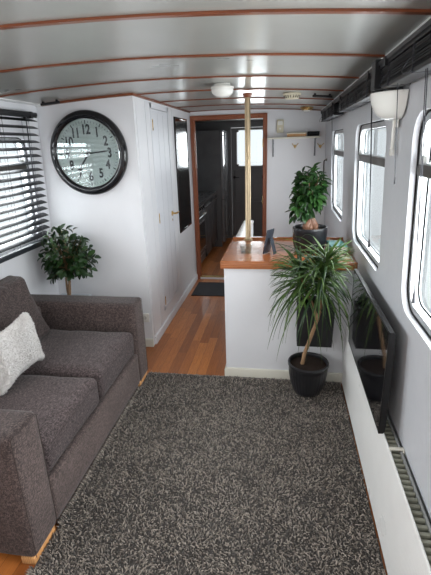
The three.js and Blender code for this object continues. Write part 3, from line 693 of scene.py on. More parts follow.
# ---------- floor, sky and lights ----------
def stage():
    me = bpy.data.meshes.new("studio_floor")
    me.from_pydata([(-40, -40, -0.002), (40, -40, -0.002), (40, 40, -0.002), (-40, 40, -0.002)], [], [(0, 1, 2, 3)])
    a = Mat("studio_floor", (0.80, 0.80, 0.80), 0.8)
    a.set(color=a.mix(a.range(a.noise(0.5, 2), 0.3, 0.7), (0.82, 0.82, 0.82), (0.79, 0.79, 0.795)))
    me.materials.append(a.m)
    o = bpy.data.objects.new("studio_floor", me)
    bpy.context.scene.collection.objects.link(o)
    w = bpy.data.worlds.new("soft_sky")
    bpy.context.scene.world = w
    w.use_nodes = True
    w.node_tree.nodes["Background"].inputs["Color"].default_value = (0.93, 0.965, 1.0, 1)
    w.node_tree.nodes["Background"].inputs["Strength"].default_value = 1.15
    view = bpy.context.scene.view_settings
    view.view_transform, view.look, view.exposure, view.gamma = "Standard", "None", 0.0, 1.0


def lamp(name, at, aim, w, h, radiance, color=(1, 1, 1), gloss=True):
    d = bpy.data.lights.new(name, "AREA")
    d.shape, d.size, d.size_y, d.energy, d.color = "RECTANGLE", w / 1000, h / 1000, radiance * math.pi * w * h / 1e6, color
    o = bpy.data.objects.new(name, d)
    p, q = row(at), row(aim)
    o.matrix_world = Matrix.Translation(p) @ (q - p).to_track_quat("-Z", "Y").to_matrix().to_4x4()
    o.visible_camera, o.visible_glossy = False, gloss
    bpy.context.scene.collection.objects.link(o)
    return o


def lights():
    day = (0.97, 0.98, 1.0)
    power = {"starboard_1": 14.0, "starboard_2": 11.0, "starboard_3": 7.0, "port_1": 15.0, "port_2": 13.0}
    for tag, s, mid in WINDOWS:
        z = (WIN_Z0 + WIN_Z1) / 2
        o = side_point(s, 62, mid, 0, z)
        i = side_point(s, -900, mid, 0, z)
        lamp("daylight_" + tag, o, i, 850, 700, power[tag], day, tag != "port_1")
    lamp("daylight_aft_door", (0, -620, 1180), (0, 2500, 900), 1500, 1150, 2.5, (1, 0.985, 0.965), False)
    lamp("daylight_saloon", (60, 1500, 1850), (60, 1500, 0), 1500, 2600, 0.36, (1, 0.98, 0.96), False)
    lamp("daylight_port_wash", (-960, 700, 1500), (1105, 1300, 200), 700, 900, 4.8, (1, 0.98, 0.96), False)
    lamp("daylight_settee", (640, 1700, 320), (-280, 1820, 235), 2300, 300, 6.2, (1, 0.97, 0.94), False)
    lamp("daylight_passage", (60, 4100, 1900), (60, 4000, 0), 500, 1300, 1.0, (1, 0.985, 0.96), False)
    lamp("daylight_galley", (900, 6100, 1500), (-400, 6000, 500), 900, 900, 0.9, day, False)
    lamp("daylight_fore_door", (125, 7420, 1520), (125, 5000, 1100), 460, 560, 9.0, day)
    sun = bpy.data.lights.new("soft_sun", "SUN")
    sun.energy, sun.angle, sun.color = 0.9, math.radians(35), (1.0, 0.985, 0.955)
    o = bpy.data.objects.new("soft_sun", sun)
    o.matrix_world = Vector((-0.75, 0.45, -0.85)).to_track_quat("-Z", "Y").to_matrix().to_4x4()
    bpy.context.scene.collection.objects.link(o)


stage()
lights()


def share_light():
    """The lamps outside a window light the rooms, not the outer face round it; the settee's lamp lights the settee."""
    def link(name, pick, state):
        c = bpy.data.collections.new(name + "_share")
        for o in bpy.context.scene.objects:
            if o.type == "MESH" and pick(o.name):
                c.objects.link(o)
        bpy.data.objects[name].light_linking.receiver_collection = c
        for e in c.collection_objects:
            e.light_linking.link_state = state

    for tag, s, _ in WINDOWS:
        side = "starboard" if s > 0 else "port"
        own = {NODE["window_pane_" + t].name for t, q, _ in WINDOWS if q == s}
        trims = tuple(side + e for e in ("_strakes", "_straps", "_window_screws", "_portlights", "_roof_edge")) + ("window_gasket_" + side, "window_rail_" + side)
        link("daylight_" + tag, lambda n: n in own or n.startswith(trims), "EXCLUDE")
    fore = {NODE[n].name for n in ("forward_bulkhead", "forward_door", "forward_door_glass")}
    link("daylight_fore_door", lambda n: n in fore or n.startswith("forward_door"), "EXCLUDE")
    wall = NODE["starboard_side"].name
    link("daylight_port_wash", lambda n: n == wall or n.startswith("window_"), "EXCLUDE")
    link("daylight_saloon", lambda n: n == wall or n.startswith("window_"), "EXCLUDE")
    ground = {NODE["sole"].name, NODE["saloon_bulkhead"].name}
    link("daylight_passage", lambda n: n in ground or n.startswith("door_mat"), "INCLUDE")
    seat = NODE["settee_frame"].name
    link("daylight_settee", lambda n: n == seat or n.startswith("settee"), "INCLUDE")


# ---------- windows ----------
def ring_path(w, h, r, place, seg=8):
    return [place(a, b) for a, b in round_rect(w, h, r, seg)]


def windows():
    zc = (WIN_Z0 + WIN_Z1) / 2
    w, h = WIN_W, WIN_Z1 - WIN_Z0
    for tag, s, mid in WINDOWS:
        at = lambda u, a, b: side_point(s, u, mid + a, b, zc)
        g = Build()
        g.tube(ring_path(w - 6, h - 6, WIN_R - 3, lambda a, b: at(22, a, b)), 3.4, 8, closed=True)
        g.tube(ring_path(w - 64, h - 64, WIN_R - 32, lambda a, b: at(54, a, b)), 2.8, 8, closed=True)
        g.tube(ring_path(w + 40, h + 40, WIN_R + 20, lambda a, b: at(70, a, b)), 4, 8, closed=True)
        g.make("window_gasket_" + tag, "rubber")
        t = Build()
        zt = TRANSOM_Z - 10 - zc
        # the rail across, faced in dark anodised strip, with a track above it
        t.prism([(17, zt - 21), (29.5, zt - 21), (29.5, zt + 17), (17, zt + 17), (14, zt + 10), (14, zt - 14)], lambda u, b, t_: at(u, t_, b), -w / 2 + 31, w / 2 - 31)
        t.prism([(54.3, zt - 15), (58, zt - 12), (58, zt + 12), (54.3, zt + 15)], lambda u, b, t_: at(u, t_, b), -w / 2 + 33, w / 2 - 33)
        t.prism([(20, zt + 17), (54, zt + 17), (54, zt + 22), (20, zt + 22)], lambda u, b, t_: at(u, t_, b), -w / 2 + 33, w / 2 - 33, 1)
        # the sliding pane's upright stile and handle
        t.prism([(36, -9), (50, -9), (50, 9), (36, 9)], lambda u, b, t_: at(u, b + 18, t_), zt + 22, h / 2 - 32, 1)
        for k in (0, 1):
            a = w / 2 - 62 if k else -w / 2 + 62
            t.prism(round_rect(34, 26, 8, 3), lambda p, q, t_: at(t_, a + p, zt + 34 + q), 16, 30, 2)
        t.make("window_rail_" + tag, ["gunmetal", "alu", "opal"])


MAT["gunmetal"] = plastic("anodised_dark", (0.075, 0.066, 0.058), 0.36, coat=0.15, vary=0.3)
windows()


# ---------- blinds ----------
def slat_section(width, crown, tilt, thick=1.1, n=6):
    top, ca, sa = [], math.cos(tilt), math.sin(tilt)
    for i in range(n + 1):
        t = -1 + 2 * i / n
        top.append((t * width / 2, crown * (1 - t * t)))
    low = [(a, b - thick) for a, b in reversed(top)]
    return [(a * ca - b * sa, a * sa + b * ca) for a, b in top + low]


def blinds():
    rnd = random.Random(7)
    for tag, s, mids, lowered in (("port", -1, (1155, 2400), True), ("starboard", 1, (1215, 2470, 3860), False)):
        at = lambda u, sta, z: side_point(s, u, sta, z - EYE_Z, EYE_Z)
        head = Build()
        a0, a1 = mids[0] - 545, mids[-1] + 545
        # headrail: a lipped channel with a moulded pelmet, on brackets
        d, h0, h1 = (62.0, 1815.0, 1850.0) if lowered else (90.0, 1849.0, 1870.0)
        head.prism([(-d, h0 + 1), (-d + 4, h0), (-d + 8, h0 + 2), (-d + 8, h0 + 10), (-24, h0 + 10), (-24, h0 + 2), (-20, h0), (-16, h0 + 1), (-16, h1 - 0.5), (-d, h1 - 0.5)], at_place(at), a0, a1)
        head.prism([(-d, h0 + 14), (-d - 5, h0 + 10), (-d - 7, h0 + 22), (-d - 5, h1 - 4), (-d, h1 - 1)], at_place(at), a0 + 1, a1 - 1)
        for m in mids:
            for e in (-470, 470):
                head.prism([(-d - 9, h0 - 6), (-12, h0 - 6), (-12, h1 + 2), (-d - 9, h1 + 2)], at_place(at), m + e - 14, m + e + 14, 1)
        if not lowered:
            # a box between the two nearer blinds houses the cord lock
            head.prism([(-106, 1783), (-8, 1783), (-8, 1882), (-106, 1882)], at_place(at), 1797, 1867, 1)
            head.prism([(-107, 1786), (-106, 1786), (-106, 1879), (-107, 1879)], at_place(at), 1801, 1863, 1)
        head.make(tag + "_blinds_headrail", ["blind", "black"], replaces=tag + "_blinds")
        for k, m in enumerate(mids, 1):
            g = Build()
            if lowered:
                pitch, n = 47.0, 18
                for i in range(n):
                    z = 1800 - pitch * i
                    sec = slat_section(50, 3.4, math.radians(-21 + rnd.uniform(-1.5, 1.5)), 1.7)
                    dz = rnd.uniform(-1, 1)
                    g.prism([(-39 + a * -1, z + b + dz) for a, b in sec], at_place(at), m - 545, m + 545)
                g.make(f"{tag}_blind_{k}_slats", "blind", angle=50)
                rail = Build()
                rail.prism([(-62, 933), (-58, 926), (-22, 926), (-18, 933), (-18, 955), (-22, 961), (-58, 961), (-62, 955)], at_place(at), m - 545, m + 545)
                rail.make(f"{tag}_blind_{k}_rail", "blind_rail")
                lad = Build()
                for e in (-430, -140, 140, 430):
                    for u in (-64.5, -14.5):
                        lad.tube([at(u, m + e, 1817), at(u, m + e, 1380), at(u, m + e, 960)], 1.2, 5)
                    for i in range(n):
                        lad.tube([at(-64, m + e, 1800 - pitch * i - 11), at(-15, m + e, 1800 - pitch * i + 8)], 0.8, 4)
                    lad.tube([at(-39, m + e + 9, 1817), at(-39, m + e + 9, 960)], 0.9, 5)
                lad.make(f"{tag}_blind_{k}_ladders", "ladder")
                # tilt wand
                wand = Build()
                wand.tube([at(-71, m + 395, 1812), at(-72, m + 396, 1500), at(-73, m + 397, 1190)], 3.2, 6)
                wand.tube([at(-71, m + 395, 1818), at(-71, m + 395, 1800)], 4.5, 8)
                wand.make(f"{tag}_blind_{k}_wand", "ladder")
            else:
                z = 1845.0
                while z > 1789:
                    sec = slat_section(68, 2.0, math.radians(rnd.uniform(-2.0, 2.0)), 1.5)
                    du, da = rnd.uniform(-3.5, 3.5), rnd.uniform(-4, 4)
                    g.prism([(-56 + a + du, z + b) for a, b in sec], at_place(at), m - 541 + da, m + 541 + da)
                    z -= 4.3
                g.make(f"{tag}_blind_{k}_slats", "blind", angle=50)
                rail = Build()
                rail.prism([(-91, 1778), (-88, 1775), (-24, 1775), (-21, 1778), (-21, 1785), (-24, 1787), (-88, 1787), (-91, 1785)], at_place(at), m - 543, m + 543)
                # loops of ladder cord that stand out under the stack
                for e in (-430, -140, 140, 430):
                    rail.tube([at(-94 - 22 * math.sin(math.pi * t / 8), m + e + 26 * math.sin(2 * math.pi * t / 8), 1818 - 40 * t / 8 - 22 * math.sin(math.pi * t / 8)) for t in range(9)], 1.3, 5, 1)
                    rail.prism([(-94, 1774), (-18, 1774), (-18, 1848), (-94, 1848)], at_place(at), m + e - 1, m + e + 1, 1)
                rail.make(f"{tag}_blind_{k}_rail", ["blind", "ladder"])
                wand = Build()
                c = m + {1: 65, 2: -460, 3: -270}[k]
                for q in (0, 14):
                    wand.tube([at(-74, c + q, 1774), at(-66, c + q - 2, 1500), at(-58, c + 6 - 4 * (q > 0), 1150)], 1.5, 5)
                wand.tube([at(-58, c + 4, 1158), at(-58, c + 4, 1120)], [3, 6], 8)
                if k == 1:
                    wand.tube([at(-76, m + 361, 1774), at(-66, m + 361, 1470)], 1.5, 5)
                    wand.tube([at(-66, m + 361, 1476), at(-66, m + 361, 1452)], [2, 3], 8)
                wand.make(f"{tag}_blind_{k}_wand", ["ladder", "socket"])


def at_place(at):
    return lambda u, z, sta: at(u, sta, z)


MAT["ladder"] = plastic("ladder_cord", (0.035, 0.036, 0.042), 0.7)
blinds()


# ---------- wall clock ----------
def clock():
    cx, cy, cz = -740.0, 3059.5, 1563.0
    case = Build()
    case.lathe([(0, 0), (290, 0), (297, 5), (298, 14), (296, 26), (291, 34), (283, 40), (272, 44.5), (262, 46), (254, 44), (249, 38), (245, 30), (243.2, 26), (243.2, 16), (0, 16)], (cx, cy, cz), "Y", 112, 0, -1)
    case.make("clock_case", "gloss_black", angle=50, replaces="wall_clock")
    inner = Build()
    inner.lathe([(243, 17), (243, 35), (240.5, 36.5), (239, 35), (238.5, 17)], (cx, cy, cz), "Y", 112, 0, -1)
    inner.make("clock_bezel", "chrome")
    dial = Build()
    dial.lathe([(0, 17), (238, 17), (238, 19.4), (0, 19.4)], (cx, cy, cz), "Y", 96, 0, -1)
    dial.make("clock_dial", "dial")
    marks = Build()
    y0 = 19.9
    place = lambda a, b, t: (cx + a, cy - t, cz + b)
    for i in range(60):
        t = math.radians(6 * i)
        big = i % 5 == 0
        r0, r1, w = (206, 228, 6.5) if big else (211, 225, 2.6)
        c, s = math.cos(t), math.sin(t)
        quad = [(-w / 2, r0), (w / 2, r0), (w / 2 * (1.3 if big else 1), r1), (-w / 2 * (1.3 if big else 1), r1)]
        marks.prism([(x * c + y * s, -x * s + y * c) for x, y in quad], place, y0, y0 + 0.5)
    # hands at fourteen minutes past seven
    for ang, ln, tail, w in ((84.0, 172, 34, 10), (217.0, 116, 30, 13)):
        t = math.radians(ang)
        c, s = math.cos(t), math.sin(t)
        lift = 24.0 if ln > 150 else 22.0
        blade = [(-w * 0.28, -tail), (w * 0.28, -tail), (w * 0.5, 0), (w * 0.42, ln * 0.55), (w * 0.55, ln * 0.74), (0.6, ln), (-0.6, ln), (-w * 0.55, ln * 0.74), (-w * 0.42, ln * 0.55), (-w * 0.5, 0)]
        marks.prism([(x * c + y * s, -x * s + y * c) for x, y in blade], place, lift, lift + 1.2)
    marks.lathe([(0, 19.5), (9, 19.5), (9, 26), (6, 28), (0, 28)], (cx, cy, cz), "Y", 20, 0, -1)
    marks.make("clock_hands_and_ticks", "ink", smooth=False)
    for n in range(1, 13):
        cu = bpy.data.curves.new(f"clock_numeral_{n}", "FONT")
        cu.body, cu.align_x, cu.align_y, cu.extrude, cu.resolution_u, cu.offset = str(n), "CENTER", "CENTER", 0.0004, 4, 0.0030
        cu.size = 0.086
        tmp = bpy.data.objects.new("tmp", cu)
        bpy.context.scene.collection.objects.link(tmp)
        bpy.context.view_layer.update()
        me = bpy.data.meshes.new_from_object(tmp.evaluated_get(bpy.context.evaluated_depsgraph_get()))
        bpy.data.objects.remove(tmp)
        bpy.data.curves.remove(cu)
        t = math.radians(30 * n)
        c = row((cx + 164 * math.sin(t), cy - 20.6, cz + 164 * math.cos(t)))
        for v in me.vertices:
            v.co = Vector((c.x + v.co.x * 0.80, c.y - v.co.z, c.z + v.co.y * 1.06))
        me.materials.clear()
        me.materials.append(MAT["ink"])
        me.name = f"clock_numeral_{n}"
        settle(f"clock_numeral_{n}", me)
    pane = Build()
    pane.lathe([(0, 33.5), (238.4, 31), (238.4, 32.6), (180, 34.4), (90, 35.6), (0, 36)], (cx, cy, cz), "Y", 96, 0, -1)
    pane.make("clock_glass", "clock_glass")


def dial():
    a = Mat("clock_dial", (0.40, 0.45, 0.44), 0.45)
    tone = a.noise(5, 3)
    a.set(color=a.mix(a.range(tone, 0.3, 0.7), (0.50, 0.56, 0.54), (0.43, 0.49, 0.475)), rough=a.range(tone, 0.3, 0.7, 0.4, 0.5), normal=a.bump(a.noise(500, 1), 0.05, 0.0003))
    return a.m


MAT["dial"], MAT["ink"], MAT["clock_glass"] = dial(), plastic("clock_ink", (0.012, 0.013, 0.016), 0.5), glass("clock_glass", (0.97, 0.99, 0.99), 0.012, 0.085)
clock()


# ---------- small helpers for fittings ----------
def cube(g, x0, x1, y0, y1, z0, z1, r=2.0, k=0, seg=2):
    return g.box(x0, x1, y0, y1, z0, z1, r, seg, k)


def run_y(g, pts, y0, y1, k=0):
    return g.prism(pts, lambda a, b, t: (a, t, b), y0, y1, k)


def run_x(g, pts, x0, x1, k=0):
    return g.prism(pts, lambda a, b, t: (t, a, b), x0, x1, k)


def screw(g, p, axis, r=4.0, k=0, sign=1):
    return g.lathe([(0, 0), (r, 0), (r, 0.6), (r * 0.75, 1.5), (0, 1.9)], p, axis, 12, k, sign)


def hinge_y(g, x, y, z, h=76, r=5.0, leaf=22, face=1, k=0):
    """A butt hinge with its knuckle upright at (x, y): leaves lie on a face square to X."""
    for i in range(5):
        g.tube([(x + face * r * 0.7, y, z - h / 2 + h * i / 5 + 0.5), (x + face * r * 0.7, y, z - h / 2 + h * (i + 1) / 5 - 0.5)], r, 10, k)
    for s in (-1, 1):
        g.lathe([(0, 0), (r * 0.7, 0), (r * 0.9, 3), (0, 7)], (x + face * r * 0.7, y, z + s * h / 2), "Z", 10, k, s)
    return g


# ---------- radiator ----------
def radiator():
    front = Build()
    # front panel: a pressed sheet with upright flutes and a rolled top edge
    y0, y1, pitch = 600.0, 2620.0, 11.0
    sec = [(1109.5, y0)]
    n = int((y1 - y0 - 24) / pitch)
    pts = [(1106.5, y0), (1105.2, y0 + 2)]
    for i in range(n):
        a = y0 + 12 + pitch * i
        pts += [(1105.2, a), (1106.7, a + 2.2), (1106.7, a + 3.8), (1105.2, a + 6)]
    pts += [(1105.2, y1 - 2), (1106.5, y1), (1111.0, y1), (1111.0, y0)]
    front.prism(pts, lambda a, b, t: (a, b, t), 17, 436)
    run_y(front, [(1105.0, 436), (1105.0, 446), (1106.5, 449.5), (1109, 450), (1111.5, 448), (1112, 436)], y0, y1)
    run_y(front, [(1105.0, 17), (1105.0, 14), (1106.5, 12.2), (1112, 12.2), (1112, 17)], y0, y1)
    front.make("radiator_front", "enamel", angle=60, replaces="radiator")
    inner = Build()
    # convector fins: one folded strip of tall channels between the two panels
    y = y0 + 22
    while y < y1 - 30:
        cube(inner, 1112.5, 1148.5, y, y + 12.0, 30, 441, 1.2, 0, 1)
        y += 27.0
    inner.make("radiator_fins", "rad_dark", angle=50)
    # back panel and feet in dark grey: painted shade for the gaps between the fins
    back = Build()
    cube(back, 1149.5, 1156.5, y0 + 4, y1 - 4, 16, 449, 2.5)
    for y in (780, 2440):
        cube(back, 1115, 1147, y - 20, y + 20, 0.3, 28, 3)
    back.make("radiator_back", "rad_back", angle=50)
    clips = Build()
    for y in (820, 1430, 2080):
        cube(clips, 1108, 1164, y - 8, y + 8, 450.2, 454.5, 1.2)
        cube(clips, 1157, 1164, y - 14, y + 14, 330, 452, 2)
        cube(clips, 1112, 1117, y - 7, y + 7, 430, 452, 1.0)
    clips.make("radiator_brackets", "cream")
    tap = Build()
    tap.tube([(1130, 592, 0.5), (1130, 592, 60), (1130, 606, 60)], 8, 12)
    tap.lathe([(0, 0), (13, 0), (15, 6), (15, 26), (22, 30), (23, 58), (19, 66), (0, 68)], (1130, 586, 60), "Y", 20, 1, -1)
    tap.tube([(1130, 2630, 0.5), (1130, 2630, 60), (1130, 2612, 60)], 8, 12)
    tap.make("radiator_valve", ["chrome", "opal"])


# dark grey back panel: painted shade for the gaps between the fins
MAT["rad_back"] = plastic("radiator_back_panel_shaded", (0.26, 0.265, 0.26), 0.5, vary=0.3)
radiator()


# ---------- television ----------
def television():
    set_ = Build()
    # shallow cabinet with a narrow bezel round the glass, thicker towards the middle of its back
    run_y(set_, [(1081, 466), (1081, 913), (1083, 915), (1096, 915), (1103, 908), (1106, 884), (1106, 500), (1103, 472), (1096, 464), (1083, 464)], 1500, 2350)
    run_y(set_, [(1080, 464), (1080, 474), (1083, 474), (1083, 464)], 1500, 2350, 1)
    run_y(set_, [(1080, 905), (1080, 915), (1083, 915), (1083, 905)], 1500, 2350, 1)
    cube(set_, 1080, 1083, 1500, 1510, 464, 915, 1, 1)
    cube(set_, 1080, 1083, 2340, 2350, 464, 915, 1, 1)
    for y, w in ((1745, 150), (2095, 150)):
        set_.prism(round_rect(2 * w, 230, 70, 6), lambda a, b, t, y=y: (t, y + a, 660 + b), 1100, 1123, 0)
    cube(set_, 1100, 1120, 1700, 2140, 500, 560, 8, 0)
    for i in range(16):
        cube(set_, 1119, 1121.6, 1770 + 20 * i, 1778 + 20 * i, 516, 546, 0.6, 1, 1)
    set_.make("television_case", ["case_black", "case_black"], angle=45, replaces="television")
    glassy = Build()
    glassy.prism(round_rect(842, 430, 3, 2), lambda a, b, t: (t, 1925 + a, 689.5 + b), 1080.4, 1081.4)
    glassy.make("television_screen", "screen", angle=30)
    foot = Build()
    foot.prism(round_rect(56, 260, 18, 5), lambda a, b, t: (1121 + a, 1920 + b, t), 454.8, 461)
    foot.tube([(1110, 1920, 458), (1110, 1920, 520)], 13, 16)
    foot.make("television_foot", "gloss_black")


MAT["case_black"] = plastic("case_black", (0.0045, 0.0045, 0.0052), 0.55, vary=0.3)
television()


# ---------- lamps ----------
def lamps():
    # half bowl of opal glass against the wall
    cx, cy = 1109.0, 1830.0
    outline = [(0.6, 1668), (22, 1668.6), (42, 1670.5), (60, 1675.5), (76, 1684.5), (89, 1698.5), (99, 1716.5), (105.5, 1737), (109, 1756), (110, 1762), (108.8, 1765), (106.2, 1764.5), (104, 1757), (100.5, 1738), (94, 1719), (84.5, 1702), (72, 1689.5), (57, 1681.5), (40, 1677), (22, 1675), (0.6, 1674.5)]
    bowl = Build()
    m, n = len(outline), 41
    verts = []
    for i in range(n):
        t = math.pi / 2 + math.pi * i / (n - 1)
        verts += [(cx + r * math.cos(t), cy + r * math.sin(t), z) for r, z in outline]
    faces = [(i * m + j, i * m + (j + 1) % m, (i + 1) * m + (j + 1) % m, (i + 1) * m + j) for i in range(n - 1) for j in range(m)]
    faces += [tuple(range(m))[::-1], tuple((n - 1) * m + j for j in range(m))]
    bowl.add(verts, faces)
    bowl.make("wall_lamp_bowl", "opal", replaces="wall_lamp", angle=45)
    arm = Build()
    # a dark grey plate over the bowl's mouth: painted shade inside the bowl
    cube(arm, 1052, 1108, 1792, 1878, 1767, 1779, 3)
    cube(arm, 1094, 1106, 1800, 1860, 1700, 1768, 3)
    cube(arm, 1102.5, 1106, 1801, 1859, 1640, 1700, 2, 1)
    arm.tube([(1100, 1845, 1668), (1101, 1845, 1600), (1102, 1845, 1556)], 7.5, 10, 1)
    cube(arm, 1094, 1108, 1826, 1864, 1536, 1560, 3, 1)
    arm.lathe([(0, 1690), (13, 1690), (17, 1700), (22, 1716), (17, 1732), (0, 1738)], (1066, 1830, 0), "Z", 20, 2)
    arm.tube([(1096, 1830, 1706), (1080, 1830, 1704), (1067, 1830, 1703)], 6, 8)
    arm.make("wall_lamp_arm", ["grey_case", "opal", "opal"])
    # small bowl lamp under the ceiling
    cx, cy = 285.0, 2860.0
    top = ceiling(cx) - 1
    ceil = Build()
    ceil.lathe([(0, top), (52, top), (54, top - 6), (50, top - 16), (66, top - 19), (70, top - 25), (69, top - 40), (62, top - 56), (48, top - 68), (28, top - 76), (0, top - 79)][::-1], (cx, cy, 0), "Z", 44)
    ceil.lathe([(50, top - 17), (72, top - 17), (73, top - 21), (71, top - 26), (50, top - 26)], (cx, cy, 0), "Z", 44, 1)
    ceil.make("ceiling_lamp", ["opal", "socket"])
    # brass porthole lamp further forward
    cx, cy = 895.0, 4650.0
    top = ceiling(cx) - 1
    brass = Build()
    brass.lathe([(0, top), (66, top), (68, top - 5), (62, top - 14), (52, top - 18), (50, top - 26), (44, top - 30), (0, top - 31)][::-1], (cx, cy, 0), "Z", 40)
    brass.lathe([(0, top - 44), (22, top - 43), (38, top - 38), (45, top - 30), (0, top - 30)], (cx, cy, 0), "Z", 32, 1)
    for i in range(3):
        t = 2 * math.pi * i / 3
        brass.tube([(cx + 56 * math.cos(t), cy + 56 * math.sin(t), top - 12), (cx + 56 * math.cos(t), cy + 56 * math.sin(t), top - 21)], 3.5, 10)
    brass.make("brass_ceiling_lamp", ["brass_any", "opal"])
    # round vented fitting of cream plastic
    cx, cy = 725.0, 3400.0
    top = ceiling(cx) - 1.5
    vent = Build()
    vent.lathe([(0, top), (64, top), (66, top - 4), (62, top - 16), (54, top - 20), (52, top - 34), (46, top - 39), (0, top - 40)][::-1], (cx, cy, 0), "Z", 40)
    for i in range(18):
        t = 2 * math.pi * i / 18
        m = Matrix.Rotation(t, 3, "Z")
        vent.box(cx + 57.5 * math.cos(t) - 3.2, cx + 57.5 * math.cos(t) + 3.2, cy + 57.5 * math.sin(t) - 3.2, cy + 57.5 * math.sin(t) + 3.2, top - 21, top - 16, 0.6, 1, 1, m)
        vent.box(cx + 51.5 * math.cos(t) - 2.5, cx + 51.5 * math.cos(t) + 2.5, cy + 51.5 * math.sin(t) - 3, cy + 51.5 * math.sin(t) + 3, top - 33, top - 23, 0.6, 1, 1, m)
    vent.make("ceiling_vent", ["cream_plastic", "black"])
    # two dark bars screwed up under the ceiling near the sides
    bars = Build()
    for x0, x1, y in ((870, 1010, 3380), (-1010, -870, 2960)):
        mid = (x0 + x1) / 2
        z = ceiling(mid) - 3
        tilt = Matrix.Rotation(math.atan(2 * CAMBER * mid), 3, "Y")
        bars.box(x0, x1, y - 12, y + 12, z - 24, z - 8, 4, 2, 0, tilt)
        for e in (x0 + 18, x1 - 18):
            bars.box(e - 7, e + 7, y - 9, y + 9, z - 14, ceiling(e) - 0.5, 2, 1, 0)
    bars.make("ceiling_bars", "black")


MAT["cream_plastic"] = plastic("cream_plastic", (0.66, 0.61, 0.46), 0.38)
MAT["grey_case"] = plastic("grey_case", (0.10, 0.105, 0.11), 0.35, coat=0.2)
lamps()


# ---------- brass pole ----------
def pole():
    g = Build()
    x, y = 408.0, 3290.0
    top = ceiling(x) - 2
    g.lathe([(0, 868.5), (38, 868.5), (38.5, 871), (37, 875), (30, 877.5), (24.5, 879), (22.5, 884), (21, 890), (21, top - 26), (0, top - 26)], (x, y, 0), "Z", 48)
    for i in range(3):
        t = 2 * math.pi * i / 3 + 0.4
        screw(g, (x + 31 * math.cos(t), y + 31 * math.sin(t), 876.6), "Z", 3.4)
    g.make("pole_tube", "brass", angle=30, replaces="brass_pole")
    c = Build()
    c.lathe([(0, top - 40), (21.5, top - 40), (25, top - 38), (27, top - 33), (31, top - 27), (34, top - 20), (34.5, top - 14), (33, top - 11), (0, top - 11)], (x, y, 0), "Z", 40)
    c.make("pole_collar", "cornice")


pole()


# ---------- shelf, hooks, switch box ----------
def hook(g, x, z, y=4939.3, s=1.0):
    g.lathe([(0, 0), (15 * s, 0), (16 * s, 2), (13 * s, 5), (0, 6)], (x, y, z), "Y", 20, 0, -1)
    g.tube([(x, y - 4, z - 4), (x, y - 20, z - 10), (x, y - 34, z - 20), (x, y - 44, z - 16), (x, y - 50, z - 2), (x, y - 52, z + 6)], [4.2, 4.2, 4, 3.8, 3.6, 5.2], 10)
    g.tube([(x - 2, y - 4, z + 4), (x - 14, y - 18, z + 10), (x - 26, y - 30, z + 20), (x - 32, y - 34, z + 30)], [4, 3.8, 3.4, 5], 10)
    g.tube([(x + 2, y - 4, z + 4), (x + 14, y - 18, z + 10), (x + 26, y - 30, z + 20), (x + 32, y - 34, z + 30)], [4, 3.8, 3.4, 5], 10)


def shelf_wall():
    top = Build()
    run_x(top, [(4798, 1634), (4796, 1638), (4796, 1645), (4799, 1650), (4939, 1650), (4939, 1632), (4800, 1632)], 499, 1051)
    top.make("shelf_board", "cream", replaces="shelf")
    br = Build()
    for x in (557, 1009):
        # pressed steel bracket: slotted upright leg, arm, and a web across the corner
        cube(br, x - 9, x + 9, 4934, 4939, 1447, 1631, 2)
        cube(br, x - 9, x + 9, 4812, 4939, 1627, 1631.5, 1.5)
        run_x(br, [(4934, 1480), (4934, 1500), (4850, 1627), (4832, 1627)], x - 1.5, x + 1.5)
        for z in (1460, 1475, 1530, 1590):
            br.lathe([(0, 0), (4, 0), (4, 0.8), (0, 1.4)], (x, 4933.9, z), "Y", 12, 1, -1)
        br.prism(round_rect(7, 60, 3.4, 4), lambda a, b, t, x=x: (x + a, t, 1515 + b), 4933.2, 4934.2, 1)
    br.make("shelf_brackets", ["galvanised", "black"])
    h = Build()
    hook(h, 795, 1553)
    hook(h, 1066, 1546)
    h.make("coat_hooks", "brass_any")
    box = Build()
    cube(box, 592, 668, 4915, 4939, 1698, 1832, 5, 0, 3)
    box.prism(round_rect(52, 40, 4, 3), lambda a, b, t: (630 + a, t, 1797 + b), 4913.2, 4916, 1)
    box.lathe([(0, 0), (11, 0), (11, 4), (9, 7), (0, 8)], (630, 4915, 1738), "Y", 20, 1, -1)
    for z in (1706, 1824):
        screw(box, (630, 4915.2, z), "Y", 2.6, 2, -1)
    box.make("switch_box", ["cream_plastic", "socket", "steel"])
    # what stands on the shelf: a low lidded box and a dark rolled cloth
    b = Build()
    cube(b, 706, 908, 4826, 4926, 1650.5, 1680, 3)
    cube(b, 703, 911, 4823, 4929, 1678, 1692, 3, 1)
    b.make("shelf_box", ["oak", "cream_plastic"])
    s = Build()
    rnd = random.Random(3)
    cy, cz = 4880.0, 1676.0
    spiral = []
    for i in range(64):
        t = i / 63 * 5.2 * math.pi
        r = 6 + 18.5 * i / 63
        spiral.append((cy + r * math.cos(t), cz + r * math.sin(t)))
    outer = [(a + 2.2 * math.cos(i / 63 * 5.2 * math.pi), b_ + 2.2 * math.sin(i / 63 * 5.2 * math.pi)) for i, (a, b_) in enumerate(spiral)]
    run_x(s, spiral + outer[::-1], 922, 1046)
    s.make("shelf_roll", "mat", angle=60)
    grab = Build()
    at = lambda u, sta, z: side_point(1, u, sta, z - EYE_Z, EYE_Z)
    grab.tube([at(-1, 4740, 1110), at(-20, 4740, 1112), at(-30, 4740, 1124), at(-32, 4740, 1160), at(-32, 4740, 1360), at(-30, 4740, 1396), at(-20, 4740, 1408), at(-1, 4740, 1410)], 7, 12)
    for z in (1110, 1410):
        grab.tube([at(-0.5, 4740, z), at(-5, 4740, z)], 15, 20)
    grab.make("grab_handle", "gunmetal")


MAT["galvanised"] = metal("galvanised", (0.36, 0.38, 0.40), 0.4)
shelf_wall()


